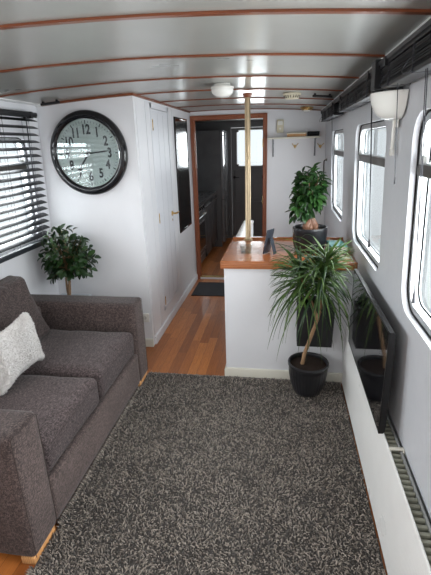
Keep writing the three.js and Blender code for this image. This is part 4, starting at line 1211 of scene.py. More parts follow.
# ---------- counter ----------
def counter_trim():
    g = Build()
    # deep edge band round the worktop, standing a little proud with a soft arris
    x0, wall = 276.0, lambda z: inside_half(z) - 2
    band = [(2632, 820), (2632, 866), (2634, 870), (2639, 871.5), (2640.5, 868.3), (2640.5, 826.3), (2649.5, 826.3), (2649.5, 820)]
    run_x(g, band, x0 + 5, wall(830))
    run_y(g, [(276, 820), (276, 866), (278, 870), (282, 871.5), (284, 868.5), (281, 868), (281, 826.3), (299.5, 826.3), (299.5, 820)], 2634, 3336)
    g.make("counter_edge_band", "top_edge")
    # fiddle along the forward edge, scalloped between uprights
    f = Build()
    outline = [(284, 850.3)]
    xs = [284, 300, 560, 574, 586, 600, 612, 626, 640, 900, 1040, wall(900)]
    top = []
    for x in np.linspace(284, wall(900), 90):
        dip = sum(math.exp(-((x - c) / 11.0) ** 2) for c in (586, 618, 812, 844))
        top.append((float(x), 884 - 7 * min(1.0, dip)))
    f.prism([(284, 868.3)] + top + [(wall(900), 868.3)], lambda a, b, t: (a, t, b), 3318, 3334)
    f.make("counter_fiddle", "top_edge", angle=25)
    s = Build()
    run_x(s, [(2634, 0.6), (2634, 62), (2637, 70), (2642, 73), (2650, 73), (2650, 0.6)], 292, inside_half(40) - 3)
    run_y(s, [(286, 0.6), (286, 62), (289, 70), (294, 73), (299.6, 73), (299.6, 0.6)], 2636, 3334)
    run_y(s, [(290, 0.6), (290, 62), (293, 70), (298, 73), (302.6, 73), (302.6, 0.6)], 3337, 4098)
    s.make("counter_skirting", "cream")
    # corner bead and a panel joint on the saloon face
    b = Build()
    b.tube([(301, 2651, 74), (301, 2651, 819)], 3.2, 8)
    cube(b, 860, 863, 2648.6, 2650.2, 76, 819, 0.4, 0, 1)
    b.make("counter_bead", "white")
    # capping rail of the half wall
    c = Build()
    run_y(c, [(297, 862.4), (296, 872), (301, 880), (312, 884), (384, 884), (394, 880), (398, 872), (397, 862.4)], 3337, 4106)
    c.make("half_wall_cap", "cap_white", angle=50)
    # a small square dish of cut glass and a framed card on an easel back
    d = Build()
    dx, dy = 428, 2876
    for r0, r1, z0, z1 in ((36, 42, 872, 923),):
        n = 4
        outer = round_rect(2 * r1, 2 * r1, 10, 4)
        lower = round_rect(2 * r0, 2 * r0, 9, 4)
        ii = round_rect(2 * r1 - 10, 2 * r1 - 10, 7, 4)
        il = round_rect(2 * r0 - 12, 2 * r0 - 12, 6, 4)
        m = len(outer)
        v = [(dx + a, dy + b, 868.4) for a, b in lower] + [(dx + a, dy + b, z1) for a, b in outer] + [(dx + a, dy + b, z1) for a, b in ii] + [(dx + a, dy + b, 876) for a, b in il]
        faces = [tuple(range(m))[::-1], tuple(range(3 * m, 4 * m))]
        for ring in range(3):
            faces += [(ring * m + i, ring * m + (i + 1) % m, (ring + 1) * m + (i + 1) % m, (ring + 1) * m + i) for i in range(m)]
        d.add(v, faces)
    d.make("counter_dish", "cut_glass", angle=20)
    e = Build()
    turn = Matrix.Rotation(math.radians(-32), 3, "Z") @ Matrix.Rotation(math.radians(12), 3, "Y")
    e.box(584 - 4, 584 + 4, 2857 - 42, 2857 + 42, 869, 1042, 2.5, 2, 0, turn)
    e.box(584 - 5.4, 584 - 3.8, 2857 - 37, 2857 + 37, 877, 1034, 0.4, 1, 1, turn)
    strut = Matrix.Rotation(math.radians(-32), 3, "Z") @ Matrix.Rotation(math.radians(-16), 3, "Y")
    e.box(617 - 2, 617 + 2, 2836 - 18, 2836 + 18, 870, 985, 1, 1, 0, strut)
    # a few plain books lying at the wall end, the top one with a teal cover
    k = Build()
    for i, (x0, x1, y0, y1, z0, z1, a) in enumerate(((985, 1100, 2748, 2958, 868.6, 896, 2), (992, 1098, 2752, 2950, 896.6, 918, -4), (988, 1092, 2744, 2940, 918.6, 946, 5))):
        r = Matrix.Rotation(math.radians(a), 3, "Z")
        k.box(x0, x1, y0, y1, z0, z0 + 2.6, 0.8, 1, i, r)
        k.box(x0, x1, y0, y1, z1 - 2.6, z1, 0.8, 1, i, r)
        k.box(x0, x0 + 3, y0, y1, z0 + 1, z1 - 1, 0.8, 1, i, r)
        k.box(x0 + 2, x1 - 4, y0 + 4, y1 - 4, z0 + 2, z1 - 2, 0.5, 1, 3, r)
    k.make("counter_books", ["book_brown", "slate", "book_teal", "book_pages"])
    e.make("counter_card_frame", ["slate", "screen"])


MAT["top_edge"] = wood("varnish_worktop_edge", (0.20, 0.054, 0.014), (0.38, 0.128, 0.038), "X", across=0.8, rough=0.28, coat=0.7, coat_rough=0.1)
MAT["cap_white"] = paint("paint_cap", (0.78, 0.74, 0.72), rough=0.3)
MAT["cut_glass"] = glass("cut_glass", (0.86, 0.88, 0.88), 0.05)
MAT["slate"] = plastic("slate_case", (0.030, 0.036, 0.048), 0.4, coat=0.15)
MAT["book_brown"] = plastic("book_cover_brown", (0.13, 0.075, 0.045), 0.55, coat=0.1, vary=0.3)
MAT["book_teal"] = plastic("book_cover_teal", (0.016, 0.115, 0.115), 0.5, coat=0.15, vary=0.25)
MAT["book_pages"] = wood("book_pages", (0.52, 0.48, 0.40), (0.68, 0.64, 0.55), "Y", across=9.0, rough=0.8, coat=0.0, depth=0.3)
counter_trim()


# ---------- wardrobe wall, mirror, doorway ----------
def wardrobe():
    x = -374.6
    g = Build()
    # cover strips over the panel joints, architrave round the door
    for y0, y1 in ((3101, 3118), (3318, 3334), (4120, 4134), (4812, 4826)):
        cube(g, x - 0.4, x + 3.6, y0, y1, 78, 1925, 1.2)
    run_y(g, [(x - 0.3, 0.6), (x + 14, 0.6), (x + 14, 60), (x + 11, 68), (x + 5, 72), (x - 0.3, 72)], 3101, 4924)
    g.make("wardrobe_mouldings", "white")
    a = Build()
    for y0, y1, z0, z1 in ((3446, 3479, 168, 1925), (3973, 4003, 168, 1925), (3446, 4003, 1889, 1925), (3446, 4003, 166, 199)):
        cube(a, x - 0.4, x + 2.6, y0, y1, z0, z1, 1.0)
    a.make("wardrobe_architrave", "door_white")
    d = Build()
    for i in range(22):
        cube(d, x - 0.2, x + 0.6, 3520 + 19.5 * i, 3534 + 19.5 * i, 1858, 1872, 0.2, 0, 1)
    cube(d, x - 0.2, x + 0.3, 3512, 3952, 1852, 1878, 0.1, 0, 1)
    d.make("wardrobe_vent", "door_white", "wardrobe_door")
    n = Build()
    for yy in (3642, 3802):
        cube(n, x + 0.1, x + 0.9, yy, yy + 2.2, 212, 1850, 0.3, 0, 1)
    n.make("wardrobe_door_joints", "joint_line", "wardrobe_door")
    h = Build()
    z, y = 985.0, 3926.0
    h.lathe([(0, 0), (24, 0), (25.5, 2.5), (22, 5.5), (13, 7), (11, 14), (0, 14)], (x, y, z), "X", 28)
    h.tube([(x + 8, y, z), (x + 34, y, z), (x + 43, y + 5, z), (x + 46, y + 22, z + 1), (x + 46, y + 60, z + 3), (x + 44, y + 96, z - 1), (x + 38, y + 112, z - 4)], [9, 9, 9, 8.5, 7.5, 7.5, 6], 14)
    h.lathe([(0, 0), (9.5, 0), (10.5, 1.5), (9, 3.5), (0, 4)], (x, y, z - 62), "X", 20)
    h.prism([(-1.6, -9), (1.6, -9), (1.6, 3), (-1.6, 3)], lambda p, q, t: (t, y + p, z - 62 + q), x + 3.6, x + 4.6, 1)
    h.make("wardrobe_handle", ["brass_any", "black"], "wardrobe_door")
    k = Build()
    for zz in (1763, 1010, 252):
        hinge_y(k, x, 3482.5, zz)
    k.make("wardrobe_hinges", "brass_any")
    # mirror in a slim black frame
    m = Build()
    y0, y1, z0, z1 = 4190, 4730, 735, 1862
    for a0, a1, b0, b1 in ((y0, y1, z1 - 16, z1), (y0, y1, z0, z0 + 16), (y0, y0 + 16, z0, z1), (y1 - 16, y1, z0, z1)):
        cube(m, -374.6, -361.5, a0, a1, b0, b1, 2.5)
    m.make("mirror_frame", "gloss_black")
    # skirting along the clock wall and both sides of the saloon, and its quarter round
    s = Build()
    run_x(s, [(3060.2, 0.6), (3046, 0.6), (3046, 60), (3049, 68), (3055, 72), (3060.2, 72)], -inside_half(40) + 3, -373)
    for sd in (-1, 1):
        q0, q1 = (606, 3056) if sd < 0 else (-690, 2632)
        pts = [(sd * (inside_half(0.6) - 0.6), 0.6), (sd * (inside_half(0.6) - 14), 0.6), (sd * (inside_half(60) - 14), 60), (sd * (inside_half(72) - 8), 72), (sd * (inside_half(72) - 0.6), 72)]
        run_y(s, pts, -690, q1)
    pts = [(inside_half(0.6) - 0.6, 0.6), (inside_half(0.6) - 14, 0.6), (inside_half(60) - 14, 60), (inside_half(72) - 8, 72), (inside_half(72) - 0.6, 72)]
    run_y(s, pts, 3340, 4936)
    run_x(s, [(4939, 0.6), (4925, 0.6), (4925, 60), (4930, 70), (4939, 72)], 492, inside_half(40) - 14)
    s.make("skirtings", "cream")
    # socket low on the clock wall
    o = Build()
    cube(o, -468, -392, 3046, 3059.6, 226, 302, 5, 0, 3)
    o.lathe([(20, 0), (21, 2), (23, 2), (24, 0)], (-430, 3047, 264), "Y", 28, 0, -1)
    o.lathe([(0, 0), (19, 0), (19, 0.9), (0, 0.9)], (-430, 3046.4, 264), "Y", 28, 1, -1)
    for e in (-9.5, 9.5):
        o.lathe([(0, 0), (2.6, 0), (2.6, 1.4), (0, 1.4)], (-430 + e, 3045.6, 264), "Y", 12, 2, -1)
    o.make("wall_socket", ["socket", "socket_inner", "black"])
    # corner bead where the clock wall meets the passage
    c = Build()
    c.tube([(-376.5, 3061.5, 74), (-376.5, 3061.5, ceiling(-375) - 18)], 3.4, 8)
    c.make("clock_wall_bead", "white")


def doorway():
    g = Build()
    x0, x1, z1 = -327.0, 447.0, 1862.0
    # moulded stop bead inside the frame, and the raised outer lip
    for xx, s in ((x0, 1), (x1, -1)):
        g.prism([(0, 4950), (4, 4952), (6, 4956), (6, 4976), (0, 4976)], lambda a, b, t, xx=xx, s=s: (xx + s * a, b, t), 29, z1)
    g.prism([(0, 4950), (-4, 4952), (-6, 4956), (-6, 4976), (0, 4976)], lambda a, b, t: (t, b, z1 + a), x0, x1)
    for xx, s in ((x0 - 42, 1), (x1 + 43, -1)):
        g.prism([(0, 4926), (12, 4926), (12, 4922), (9, 4919.5), (3, 4919.5), (0, 4922)], lambda a, b, t, xx=xx, s=s: (xx + s * a, b, t), 0.6, z1 + 43)
    g.prism([(0, 4926), (12, 4926), (12, 4922), (9, 4919.5), (3, 4919.5), (0, 4922)], lambda a, b, t: (t, b, z1 + 43 - a), x0 - 42, x1 + 43)
    g.make("doorway_beads", "frame")
    t = Build()
    run_x(t, [(4920, 26), (4920, 31), (4924, 33.5), (4978, 33.5), (4982, 31), (4982, 28.2), (4926, 28.2), (4926, 26)], x0 + 0.5, x1 - 0.5)
    for xx in np.linspace(x0 + 50, x1 - 50, 6):
        screw(t, (float(xx), 4950, 33.2), "Z", 4)
    t.make("doorway_sill_strip", "brass_long")
    r = Build()
    cube(r, x0 + 1, x1 - 1, 4918.5, 4925.6, 1.0, 25.5, 1.5)
    r.make("doorway_riser", "white")
    k = Build()
    for z in (1600, 980, 300):
        hinge_y(k, 446.6, 4930, z, 82, 5.5, 24, -1)
    k.prism(round_rect(60, 12, 4, 3), lambda a, b, t: (t, 4960 + b, 1010 + a), -326.9, -325.2)
    k.make("doorway_hinges", "brass_any")


MAT["joint_line"] = plastic("joint_line", (0.46, 0.47, 0.50), 0.6)
MAT["socket_inner"] = plastic("socket_inner", (0.60, 0.59, 0.55), 0.4)
MAT["brass_long"] = metal("brass_strip", (0.80, 0.57, 0.25), 0.28, "X")
wardrobe()
doorway()


# ---------- meshes from arrays ----------
def mesh_np(name, verts_mm, quads=(), tris=(), mat=None, smooth=True):
    v = np.asarray(verts_mm, float).reshape(-1, 3).copy()
    v[:, 1] -= STA_MID
    v[:, 2] += SOLE_T
    v /= 1000.0
    q = np.asarray(quads, np.int32).reshape(-1, 4)
    t = np.asarray(tris, np.int32).reshape(-1, 3)
    me = bpy.data.meshes.new(name)
    me.vertices.add(len(v))
    me.vertices.foreach_set("co", v.ravel())
    me.loops.add(q.size + t.size)
    me.loops.foreach_set("vertex_index", np.concatenate([q.ravel(), t.ravel()]))
    me.polygons.add(len(q) + len(t))
    me.polygons.foreach_set("loop_start", np.concatenate([np.arange(len(q)) * 4, q.size + np.arange(len(t)) * 3]).astype(np.int32))
    me.update(calc_edges=True)
    me.validate()
    me.polygons.foreach_set("use_smooth", [smooth] * len(me.polygons))
    if mat:
        me.materials.append(MAT[mat] if isinstance(mat, str) else mat)
    return me


def unit(a):
    return a / np.maximum(np.linalg.norm(a, axis=-1, keepdims=True), 1e-9)


def strands(name, root, d0, d1, length, radius, mat, sides=3, profile=(0.8, 1.0, 0.75), rng=None):
    """Short bent yarns or hairs, each a closed tapered tube that ends in a point."""
    n, m = len(root), len(profile)
    d0, d1 = unit(d0), unit(d1)
    ts = np.linspace(0, 1, m + 1)
    ref = unit(rng.normal(size=(n, 3)))
    p1 = root + d0 * length[:, None] * 0.5
    p2 = p1 + d1 * length[:, None] * 0.5
    verts = np.zeros((n, m * sides + 1, 3))
    for j, t in enumerate(ts[:-1]):
        c = (1 - t) ** 2 * root + 2 * t * (1 - t) * p1 + t * t * p2
        tan = unit((1 - t) * d0 + t * d1)
        s = unit(np.cross(tan, ref))
        u = np.cross(s, tan)
        for k in range(sides):
            a = 2 * math.pi * k / sides
            verts[:, j * sides + k] = c + (s * math.cos(a) + u * math.sin(a)) * (radius * profile[j])[:, None]
    verts[:, -1] = p2
    base = (np.arange(n) * (m * sides + 1))[:, None]
    quads = [np.stack([base[:, 0] + j * sides + k, base[:, 0] + j * sides + (k + 1) % sides, base[:, 0] + (j + 1) * sides + (k + 1) % sides, base[:, 0] + (j + 1) * sides + k], 1) for j in range(m - 1) for k in range(sides)]
    tris = [np.stack([base[:, 0] + (m - 1) * sides + k, base[:, 0] + (m - 1) * sides + (k + 1) % sides, base[:, 0] + m * sides], 1) for k in range(sides)]
    if sides == 3:
        tris.append(np.stack([base[:, 0] + 2, base[:, 0] + 1, base[:, 0]], 1))
    return mesh_np(name, verts, np.concatenate(quads), np.concatenate(tris), mat)


# ---------- padded pieces ----------
def puff(name, verts, faces, voxel=0.008, cap=0.012, pressure=4.0, floor=None):
    """Blows a closed form up a little, as stuffing does, and returns (points in metres, polygons)."""
    me = bpy.data.meshes.new(name)
    me.from_pydata([row(p)[:] for p in verts], [], [tuple(f) for f in faces])
    bm = bmesh.new()
    bm.from_mesh(me)
    bmesh.ops.recalc_face_normals(bm, faces=bm.faces)
    bm.to_mesh(me)
    bm.free()
    o = bpy.data.objects.new(name + "_work", me)
    scene = bpy.context.scene
    scene.collection.objects.link(o)
    m = o.modifiers.new("remesh", "REMESH")
    m.mode, m.voxel_size = "VOXEL", voxel
    bpy.context.view_layer.update()
    base = bpy.data.meshes.new_from_object(o.evaluated_get(bpy.context.evaluated_depsgraph_get()))
    o.modifiers.clear()
    o.data = base
    before = np.empty(len(base.vertices) * 3)
    base.vertices.foreach_get("co", before)
    before = before.reshape(-1, 3)
    c = o.modifiers.new("cloth", "CLOTH")
    s = c.settings
    s.use_pressure, s.uniform_pressure_force, s.quality = True, pressure, 5
    s.effector_weights.gravity = 0.0
    s.mass, s.tension_stiffness, s.compression_stiffness, s.shear_stiffness, s.bending_stiffness = 0.3, 20, 20, 12, 1.2
    c.point_cache.frame_start, c.point_cache.frame_end = 1, 20
    for f in range(1, 21):
        scene.frame_set(f)
    out = bpy.data.meshes.new_from_object(o.evaluated_get(bpy.context.evaluated_depsgraph_get()))
    after = np.empty(len(out.vertices) * 3)
    out.vertices.foreach_get("co", after)
    after = after.reshape(-1, 3)
    move = after - before
    ln = np.linalg.norm(move, axis=1, keepdims=True)
    after = before + move * np.minimum(1, cap / np.maximum(ln, 1e-9))
    out.vertices.foreach_set("co", after.ravel())
    out.update()
    scene.frame_set(1)
    bpy.data.objects.remove(o)
    return out


def sew(me, path_mm, depth=0.0032, reach=0.009):
    """Draws the cloth in along a seam."""
    from mathutils import kdtree
    pts = [row(p) for p in path_mm]
    dense = []
    for a, b in zip(pts, pts[1:]):
        k = max(1, int((b - a).length / 0.004))
        dense += [a.lerp(b, i / k) for i in range(k)]
    dense.append(pts[-1])
    tree = kdtree.KDTree(len(dense))
    for i, p in enumerate(dense):
        tree.insert(p, i)
    tree.balance()
    for v in me.vertices:
        _, _, d = tree.find(v.co)
        if d < reach * 2.4:
            v.co -= v.normal * depth * math.exp(-(d / reach) ** 2)
    me.update()


def welt(me, path_mm, r=1.5, lift=0.4, closed=True):
    """A seam cord that follows the surface next to path."""
    from mathutils.bvhtree import BVHTree
    tree = BVHTree.FromPolygons([v.co.copy() for v in me.vertices], [tuple(p.vertices) for p in me.polygons])
    out = []
    n = len(path_mm)
    for i in range(n if closed else n - 1):
        a, b = row(path_mm[i]), row(path_mm[(i + 1) % n])
        k = max(1, int((b - a).length / 0.018))
        for j in range(k):
            q, nrm, _, _ = tree.find_nearest(a.lerp(b, j / k))
            q = q + nrm * lift / 1000
            out.append((q.x * 1000, q.y * 1000 + STA_MID, q.z * 1000 - SOLE_T))
    return out


def lean_map(pts, x0, z0, angle):
    """Leans points back about a line along the boat at (x0, z0)."""
    c, s = math.cos(angle), math.sin(angle)
    p = np.array(pts, float)
    dx, dz = p[:, 0] - x0, p[:, 2] - z0
    p[:, 0], p[:, 2] = x0 + dx * c - dz * s, z0 + dx * s + dz * c
    return p


def settee():
    fab = Build()
    for lo, hi, r, crown in (((-1106, 1290, 37), (-281, 2440, 262), 12, (2, 0, 0)), ((-1119, 1107, 36), (-277, 1291, 620), 21, (4, 3, 3)), ((-1119, 2439, 36), (-277, 2609, 620), 21, (4, 3, 3)), ((-1119, 1286, 200), (-937, 2444, 598), 24, (3, 0, 2))):
        v, f = soft_box(lo, hi, r, 20, crown, bump=1.6, freq=7, seed=lo[1] / 500)
        fab.add(v, f)
    o = fab.make("settee_upholstery", "tweed", angle=180, slot="settee_tweed", replaces="settee_frame")
    pipe = Build()
    for y0, y1 in ((1107, 1291), (2439, 2609)):
        e = 9
        loop = [(-276.2, y0 + e, 38), (-276.2, y0 + e, 598), (-276.2, y0 + e + 3, 606), (-276.2, y0 + e + 12, 611.5), (-276.2, y1 - e - 12, 611.5), (-276.2, y1 - e - 3, 606), (-276.2, y1 - e, 598), (-276.2, y1 - e, 38)]
        pipe.tube([(x - 1.8, y, z) for x, y, z in loop], 1.3, 6)
    pipe.make("settee_seams", "seam")
    feet = Build()
    for fx, fy in ((-1110, 1110), (-1110, 2438), (-347, 1110), (-347, 2438)):
        cube(feet, fx, fx + 62, fy, fy + 160, 0.4, 37.5, 3, 0, 2)
    feet.make("settee_feet", "oak")
    for tag, y0, y1, b0, b1 in (("aft", 1293, 1863, 1294, 1808), ("forward", 1867, 2437, 1812, 2330)):
        lo, hi = (-925, y0 + 5, 267), (-280, y1 - 5, 438)
        v, f = soft_box(lo, hi, 30, 24, (3, 0, 5), bump=2.4, freq=5, seed=y0 / 300, pinch=2)
        me = puff("seat_cushion_" + tag, v, f, 0.009, 0.010, 4.0)
        # the top panel's seam runs round the boxing, 38 mm under the crown
        loop = [(-276, y0 + 16, 404), (-276, y1 - 16, 404), (-300, y1 - 1, 404), (-900, y1 - 1, 404), (-900, y0 + 1, 404), (-300, y0 + 1, 404)]
        sew(me, loop + loop[:1])
        seam = Build()
        seam.tube(welt(me, loop), 0.9, 6, closed=True)
        # the seat takes the lighter copy of the cloth: painted light
        me.materials.append(MAT["tweed_seat"])
        me.polygons.foreach_set("use_smooth", [True] * len(me.polygons))
        me.name = "seat_cushion_" + tag
        o = settle("seat_" + tag, me, replaces="seat_cushion_" + tag)
        seam.make("seat_seams_" + tag, "seam")
        # back cushion: a deep block that leans against the back, its top edge soft and a little slack
        ang = math.radians(17.5)
        v, f = soft_box((-935, b0 + 6, 452), (-800, b1 - 6, 884), 34, 24, (11, 0, 8), bump=4.5, freq=4.2, seed=3 + b0 / 270, pinch=4)
        v = np.array(v)
        high = np.clip((v[:, 2] - 660) / 200, 0, 1)
        v[:, 2] += (-800 - v[:, 0]) * 0.26 * high
        v[:, 0] += np.where(v[:, 0] < -868, 10 * high, -8 * high)
        v = lean_map(v, -800, 452, ang)
        v[:, 2] = np.maximum(v[:, 2], 449)
        v[:, 0] = np.where(v[:, 2] < 628, np.maximum(v[:, 0], -931), v[:, 0])
        me = puff("back_cushion_" + tag, v, f, 0.009, 0.013, 4.0)
        seam = Build()
        loop = lean_map([(-816, b0 + 4, 462), (-816, b1 - 4, 462), (-816, b1 - 4, 888), (-816, b0 + 4, 888)], -800, 452, ang)
        loop = [tuple(p) for p in loop]
        sew(me, loop + loop[:1], 0.0022)
        seam.tube(welt(me, loop), 1.0, 6, closed=True)
        me.materials.append(MAT["tweed"])
        me.polygons.foreach_set("use_smooth", [True] * len(me.polygons))
        o = settle("back_" + tag, me, replaces="back_cushion_" + tag)
        seam.make("back_seams_" + tag, "seam")


MAT["seam"] = plastic("seam_thread", (0.046, 0.036, 0.033), 0.9, strength=0.4, grain=700)
# seat cushions: a lighter copy of the settee cloth, painted light on their upturned tops
MAT["tweed_seat"] = tweed("settee_tweed_seat", (0.014, 0.0092, 0.0096), (0.190, 0.143, 0.142), sheen=0.11)
settee()


def scatter():
    rng = np.random.default_rng(11)
    lo, hi = (-19, 1560, 457), (19, 1974, 774)
    v, f = soft_box(lo, hi, 16, 16, (15, 0, 0), bump=5, freq=5.5, seed=1.3, pinch=0)
    v = np.array(v)
    # sides draw in between the corners, which stand out a little
    cy, cz, hy, hz = 1767, 615.5, 207, 158.5
    uy, uz = (v[:, 1] - cy) / hy, (v[:, 2] - cz) / hz
    v[:, 1] -= np.sign(uy) * np.abs(uy) ** 3 * 12 * (1 - uz ** 2)
    v[:, 2] -= np.sign(uz) * np.abs(uz) ** 3 * 12 * (1 - uy ** 2)
    v = lean_map(v, 0, 450, math.radians(8.5))
    v[:, 0] += -668
    me = puff("scatter_cushion", v, f, 0.008, 0.024, 5.0)
    me.materials.append(MAT["fur"])
    me.polygons.foreach_set("use_smooth", [True] * len(me.polygons))
    o = settle("scatter_pillow", me, replaces="scatter_cushion")
    # short pile over the whole cover
    n = 13500
    me.calc_loop_triangles()
    tri = np.empty(len(me.loop_triangles) * 3, np.int32)
    me.loop_triangles.foreach_get("vertices", tri)
    tri = tri.reshape(-1, 3)
    co = np.empty(len(me.vertices) * 3)
    me.vertices.foreach_get("co", co)
    co = co.reshape(-1, 3)
    a, b, c = co[tri[:, 0]], co[tri[:, 1]], co[tri[:, 2]]
    nrm = np.cross(b - a, c - a)
    area = np.linalg.norm(nrm, axis=1)
    pick = rng.choice(len(tri), n, p=area / area.sum())
    s, t = rng.random(n), rng.random(n)
    flip = s + t > 1
    s[flip], t[flip] = 1 - s[flip], 1 - t[flip]
    p = a[pick] + s[:, None] * (b - a)[pick] + t[:, None] * (c - a)[pick]
    d = unit(nrm[pick])
    mm = p * 1000
    mm[:, 1] += STA_MID
    mm[:, 2] -= SOLE_T
    swirl = np.stack([np.sin(mm[:, 1] / 31) + np.cos(mm[:, 2] / 23), np.cos(mm[:, 1] / 27 + 1), np.sin(mm[:, 2] / 35 + mm[:, 1] / 50)], 1)
    d0 = unit(d + 0.35 * rng.normal(size=(n, 3)))
    d1 = unit(d * 0.45 + 0.55 * swirl + 0.45 * rng.normal(size=(n, 3)) + np.array([0, 0, -0.25]))
    pile = strands("scatter_pile", mm - d * 1.2, d0, d1, rng.uniform(9, 15, n), rng.uniform(1.3, 2.2, n), "fur", 3, (1.0, 0.8), rng)
    settle("scatter_pile", pile)


scatter()


# ---------- rug and mat ----------
def rug():
    rng = np.random.default_rng(5)
    x0, x1, y0, y1 = -283.0, 1098.0, 600.0, 2632.0
    nx, ny = 70, 103
    xs, ys = np.linspace(x0, x1, nx), np.linspace(y0, y1, ny)
    top = [(x, y, 8.5 + 1.0 * mnoise.noise(Vector((x / 90, y / 90, 0)))) for y in ys for x in xs]
    low = [(x, y, 1.0) for y in ys for x in xs]
    q = []
    for j in range(ny - 1):
        for i in range(nx - 1):
            a = j * nx + i
            q.append((a, a + 1, a + nx + 1, a + nx))
            b = a + nx * ny
            q.append((b, b + nx, b + nx + 1, b + 1))
    o = nx * ny
    for i in range(nx - 1):
        q.append((i, i + o, i + 1 + o, i + 1))
        a = (ny - 1) * nx + i
        q.append((a, a + 1, a + 1 + o, a + o))
    for j in range(ny - 1):
        a = j * nx
        q.append((a, a + nx, a + nx + o, a + o))
        a = j * nx + nx - 1
        q.append((a, a + o, a + nx + o, a + nx))
    base = settle("rug_ground", mesh_np("rug_ground", top + low, q, (), "rug_base"), replaces="rug")
    step = 8.5
    gx, gy = np.meshgrid(np.arange(x0 + 5, x1 - 4, step), np.arange(y0 + 5, y1 - 4, step))
    pts = np.stack([gx.ravel(), gy.ravel()], 1)
    pts += rng.uniform(-4.0, 4.0, pts.shape)
    pts[:, 0] = np.clip(pts[:, 0], x0 + 3, x1 - 3)
    pts[:, 1] = np.clip(pts[:, 1], y0 + 3, y1 - 3)
    n = len(pts)
    flow = np.array([[mnoise.noise(Vector((p[0] / 85, p[1] / 85, 3))), mnoise.noise(Vector((p[0] / 85, p[1] / 85, 40)))] for p in pts])
    clump = np.array([mnoise.noise(Vector((p[0] / 26, p[1] / 26, 9))) for p in pts])
    ang = rng.uniform(0, 2 * math.pi, n)
    side = 0.95 * np.stack([np.cos(ang), np.sin(ang)], 1) + 1.5 * flow + np.array([0.0, -0.25])
    brim = (pts[:, 0] < x0 + 22) & ((pts[:, 1] < 1085) | ((pts[:, 1] > 1295) & (pts[:, 1] < 2415)))
    side[brim, 0] = -np.abs(side[brim, 0]) * 0.6 - 0.7
    root = np.column_stack([pts, np.full(n, 7.0)])
    d0 = np.column_stack([side * 0.45, np.full(n, 1.0)])
    d1 = np.column_stack([side * 1.15, 0.30 + 0.7 * clump])
    length = rng.uniform(16, 24, n) * (1 + 0.25 * clump)
    radius = rng.uniform(2.2, 3.3, n)
    # along the settee the outermost yarns lie out under its edge
    ys = np.arange(y0 + 6, y1 - 6, 4.2)
    ys = ys[(ys < 1085) | ((ys > 1295) & (ys < 2415))]
    hem = np.column_stack([x0 + rng.uniform(3, 11, len(ys) * 3), np.tile(ys, 3) + rng.uniform(-2, 2, len(ys) * 3)])
    m = len(hem)
    out = np.column_stack([-rng.uniform(0.8, 1.3, m), rng.uniform(-0.5, 0.5, m)])
    pts = np.vstack([pts, hem])
    root = np.vstack([root, np.column_stack([hem, np.full(m, 7.0)])])
    d0 = np.vstack([d0, np.column_stack([out * 0.5, np.full(m, 1.0)])])
    d1 = np.vstack([d1, np.column_stack([out * 1.2, rng.uniform(-0.1, 0.3, m)])])
    length = np.concatenate([length, rng.uniform(26, 36, m)])
    radius = np.concatenate([radius, rng.uniform(2.4, 3.3, m)])
    order = np.argsort(pts[:, 1], kind="stable")
    for i, part in enumerate(np.array_split(order, 3)):
        me = strands(f"rug_tufts_{i + 1}", root[part], d0[part], d1[part], length[part], radius[part], "yarn", 3, (0.9, 1.0), rng)
        settle(f"rug_tufts_{i + 1}", me)


rug()


def door_mat():
    x0, x1, y0, y1 = -318.0, 268.0, 4310.0, 4780.0
    g = Build()
    n = 30
    xs = np.linspace(x0, x1, 60)
    ys = np.linspace(y0, y1, 48)
    top = [(x, y, 6.9 + 0.9 * mnoise.noise(Vector((x / 14, y / 14, 1)))) for y in ys for x in xs]
    low = [(x, y, 0.8) for y in ys for x in xs]
    nx, ny = 60, 48
    o = nx * ny
    q = []
    for j in range(ny - 1):
        for i in range(nx - 1):
            a = j * nx + i
            q += [(a, a + 1, a + nx + 1, a + nx), (a + o, a + nx + o, a + nx + 1 + o, a + 1 + o)]
    for i in range(nx - 1):
        a = (ny - 1) * nx + i
        q += [(i, i + o, i + 1 + o, i + 1), (a, a + 1, a + 1 + o, a + o)]
    for j in range(ny - 1):
        a, b = j * nx, j * nx + nx - 1
        q += [(a, a + nx, a + nx + o, a + o), (b, b + o, b + nx + o, b + nx)]
    me = mesh_np("door_mat_sheet", top + low, q, (), "mat")
    m = settle("door_mat_sheet", me, replaces="door_mat")
    hem = Build()
    hem.tube([(x0 + 4, y0 + 4, 5), (x1 - 4, y0 + 4, 5), (x1 - 4, y1 - 4, 5), (x0 + 4, y1 - 4, 5)], 4.2, 8, closed=True)
    h = hem.make("door_mat_binding", "rubber")


door_mat()


# ---------- plants ----------
LEAF_ROWS = [(0.0, 0.06), (0.18, 0.62), (0.42, 1.0), (0.68, 0.86), (0.88, 0.42)]


